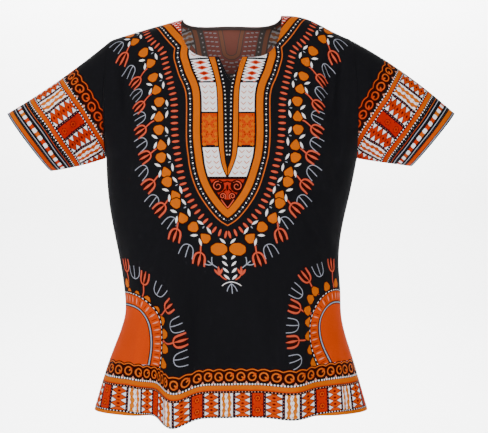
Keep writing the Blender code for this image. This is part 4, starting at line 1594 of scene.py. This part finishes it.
def edge_part(outline, wanted):
    """The longest run of an outline's places that are wanted, in order."""
    wanted = np.asarray(wanted)
    start = int(np.argmin(wanted)) if not wanted.all() else 0
    places, flags = np.roll(outline, -start), np.roll(wanted, -start)
    runs, run = [], []
    for place, flag in zip(places, flags):
        if flag:
            run.append(place)
        elif run:
            runs.append(np.array(run))
            run = []
    if run:
        runs.append(np.array(run))
    return max(runs, key=len)


def inwards_of(path, outline):
    """The direction into the cloth at each place of a part of its outline."""
    way = np.gradient(path)
    return 1j * way / np.abs(way) * np.sign(shoelace(outline))


def turned_edge(name, worn, outline, path, depth):
    """The cloth that is turned in along an edge: a thin strip inside the shell."""
    inwards = inwards_of(path, outline)
    flat = np.array([path + inwards * distance for distance in np.linspace(0.5, depth, TURN_ROWS)])
    points, normals = worn(flat.ravel())
    outer = points - normals * (CLOTH + TURNED_GAP)
    inner = outer - normals * TURNED
    wide, count = len(path), flat.size
    faces = []
    for r in range(TURN_ROWS - 1):
        for k in range(wide - 1):
            a = r * wide + k
            faces.append((a, a + 1, a + 1 + wide, a + wide))
            faces.append((a + wide + count, a + 1 + wide + count, a + 1 + count, a + count))
    last = (TURN_ROWS - 1) * wide
    ring = [*range(wide), *range(2 * wide - 1, last + wide, wide),
            *range(last + wide - 2, last - 1, -1), *range(last - wide, 0, -wide)]
    for a, b in zip(ring, ring[1:] + ring[:1]):
        faces.append((b, a, a + count, b + count))
    mesh = bpy.data.meshes.new(name)
    mesh.from_pydata(np.concatenate([outer, inner]).tolist(), [], faces)
    mesh.polygons.foreach_set("use_smooth", [True] * len(faces))
    if mesh.polygons[0].normal.dot(Vector(normals[0])) < 0:
        mesh.flip_normals()
    colours = np.tile([*linear(TURNED_TONE), 1.0], (len(mesh.loops), 1))
    mesh.color_attributes.new("ink", "FLOAT_COLOR", "CORNER").data.foreach_set("color", colours.ravel())
    mesh.uv_layers.new(name="cloth_metres")
    mesh.materials.append(reverse_cotton)
    piece = bpy.data.objects.new(name, mesh)
    bpy.context.scene.collection.objects.link(piece)
    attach(piece, "root")
    return piece


print("turned in:", HEM_TURN, "mm at hem and cuffs,", VENT_TURN, "at the vents,", NECK_TURN, "at the neck")

# %% [markdown]
# A topstitch is a short bead of thread that sinks into the cloth at both ends. It could be
# a dashed line in the material, but then it would have no form. One stitch is modelled,
# and copied along every row.

# %% One stitch
STITCH_HALF = (0.00165, 0.00042, 0.00036)   # half length, width and height, in metres
STITCH_PITCH = 4.4                          # from one stitch to the next, in millimetres
STITCH_RISE = 0.00012                       # how far its middle lies above the cloth


def deselect_all():
    for chosen in bpy.context.selected_objects:
        chosen.select_set(False)


thread = bpy.data.materials.new("black_thread")
thread.use_nodes = True
thread_shader = thread.node_tree.nodes["Principled BSDF"]
thread_shader.inputs["Base Color"].default_value = (0.02, 0.02, 0.022, 1)
thread_shader.inputs["Roughness"].default_value = 0.6

deselect_all()
bpy.ops.mesh.primitive_ico_sphere_add(subdivisions=1, radius=1.0, location=(0, 0, 0))
stitch = bpy.context.object
stitch.name = "stitch"
bpy.ops.transform.resize(value=STITCH_HALF)
bpy.ops.object.transform_apply(location=False, rotation=False, scale=True)
bpy.ops.object.shade_smooth()
stitch.data.materials.append(thread)
print("a stitch is", round(STITCH_HALF[0] * 2000, 1), "mm long and has", len(stitch.data.polygons), "faces")


# %% Rows of stitches
def stitch_rows(name, worn, paths, pitch=STITCH_PITCH):
    """Copies of the stitch along paths on the flat cloth, joined as one piece."""
    copies = []
    for path in paths:
        places, _ = stations(path, pitch, pitch / 2)
        ahead, _ = stations(path, pitch, pitch / 2 + 1.0)
        places = places[:len(ahead)]
        here, normals = worn(places)
        there, _ = worn(ahead)
        along = unit(there - here)
        across = unit(np.cross(normals, along))
        up = np.cross(along, across)
        for place, x, y, z in zip(here + up * STITCH_RISE, along, across, up):
            copy = stitch.copy()
            copy.data = stitch.data.copy()
            turned = Matrix([x, y, z]).transposed().to_4x4()
            copy.data.transform(Matrix.Translation(place) @ turned)
            bpy.context.scene.collection.objects.link(copy)
            copies.append(copy)
    deselect_all()
    for copy in copies:
        copy.select_set(True)
    bpy.context.view_layer.objects.active = copies[0]
    bpy.ops.object.join()
    row = copies[0]
    row.name = name
    row.data.name = name
    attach(row, "root")
    return row


# %% The sewing of the four pieces
for name, panel in (("front", front), ("back", back)):
    outline = subdivided(panel.cut(), 4.0)
    across, down = panel.shares(outline)
    neck_reach = NECK_HALF / SHOULDER_HALF
    is_neck = (np.abs(across) < neck_reach + 0.002) & (down < 0.8)
    is_hem = down > 1.9995
    parts = {
        "neck": (edge_part(outline, is_neck), NECK_TURN, NECK_STITCHES),
        "hem": (edge_part(outline, is_hem), HEM_TURN, HEM_STITCHES),
    }
    for hand, label in ((1, "left"), (-1, "right")):
        is_vent = (across * hand > 0.998) & (down > VENT_ROW + 0.004)
        parts["vent_" + label] = (edge_part(outline, is_vent), VENT_TURN, VENT_STITCHES)
    edges, paths = [], []
    for label, (path, depth, row) in parts.items():
        edges.append(turned_edge(name + "_turned_" + label, panel.worn, outline, path[1:-1], depth))
        paths.append((path + inwards_of(path, outline) * row)[2:-2])
    stitch_rows(name + "_stitches", panel.worn, paths)
for name, hand in (("sleeve_left", 1), ("sleeve_right", -1)):
    sleeve = sleeves[hand]
    outline = subdivided(sleeve.cut(), 4.0)
    path = edge_part(outline, outline.imag < 0.01)
    edges = [turned_edge(name + "_turned_cuff", sleeve.worn, outline, path[1:-1], HEM_TURN)]
    paths = [(path + inwards_of(path, outline) * HEM_STITCHES)[2:-2]]
    stitch_rows(name + "_stitches", sleeve.worn, paths)
bpy.data.objects.remove(stitch, do_unlink=True)

# %% [markdown]
# ## The cloth pieces
#
# Each of the four pieces is a sheet of cloth that hangs. Its cut size is worked out and
# printed as it is made, and its turned edges and stitches are separate objects named after it.

# %% [markdown]
# ## The setting
#
# The camera stands three metres off, level with the middle of the shirt, as in the
# photo. A pale backdrop and large soft lights keep the folds gentle.

# %% Camera
CAMERA_PLACE = (0.024, -3.0, -0.369)
LENS = 119.58               # focal length in millimetres, on film 36 mm wide

scene = bpy.context.scene
camera = bpy.data.objects.new("camera", bpy.data.cameras.new("camera"))
scene.collection.objects.link(camera)
camera.location = CAMERA_PLACE
camera.rotation_euler = (math.pi / 2, 0, 0)
camera.data.lens = LENS
camera.data.sensor_width = 36.0
camera.data.clip_end = 40.0
scene.camera = camera
print("camera at", CAMERA_PLACE, "with a lens of", LENS, "mm")

# %% Backdrop: a floor that curves up into a wall, as depth and height
sweep = [(-7.0, -1.55), (4.6, -1.55), (5.4, -1.48), (6.0, -1.25), (6.4, -0.85), (6.5, -0.3), (6.5, 6.0)]
backdrop_mesh = bpy.data.meshes.new("backdrop")
backdrop_mesh.from_pydata(
    [(x, y, z) for y, z in sweep for x in (-9.0, 9.0)], [],
    [(2 * i, 2 * i + 1, 2 * i + 3, 2 * i + 2) for i in range(len(sweep) - 1)])
backdrop_mesh.polygons.foreach_set("use_smooth", [True] * (len(sweep) - 1))
backdrop = bpy.data.objects.new("backdrop", backdrop_mesh)
scene.collection.objects.link(backdrop)
paper = bpy.data.materials.new("backdrop_paper")
paper.use_nodes = True
paper.node_tree.nodes["Principled BSDF"].inputs["Base Color"].default_value = (0.95, 0.95, 0.95, 1)
paper.node_tree.nodes["Principled BSDF"].inputs["Roughness"].default_value = 0.95
backdrop_mesh.materials.append(paper)
print("paper from", sweep[0][0], "to", sweep[-1][0], "m in depth")


# %% Light
def soft_light(name, place, target, size, watts):
    """A rectangular lamp that faces its target."""
    light = bpy.data.lights.new(name, "AREA")
    light.shape = "RECTANGLE"
    light.size, light.size_y = size
    light.energy = watts
    lamp = bpy.data.objects.new(name, light)
    scene.collection.objects.link(lamp)
    lamp.location = place
    lamp.rotation_euler = (Vector(target) - Vector(place)).to_track_quat("-Z", "Y").to_euler()


soft_light("key", (-2.4, -2.0, 1.3), (0, 0, -0.35), (1.4, 1.4), 74)
soft_light("fill", (1.6, -3.2, 0.2), (0, 0, -0.4), (1.8, 1.8), 58)
soft_light("top", (0.3, 0.2, 2.2), (0, 0, -0.2), (1.6, 1.2), 14)
soft_light("back_wash", (0.0, 4.9, 2.9), (0, 6.5, -0.3), (5.0, 1.2), 1300)
world = bpy.data.worlds.new("soft_room")
scene.world = world
world.use_nodes = True
world.node_tree.nodes["Background"].inputs["Color"].default_value = (1, 1, 1, 1)
world.node_tree.nodes["Background"].inputs["Strength"].default_value = 0.36
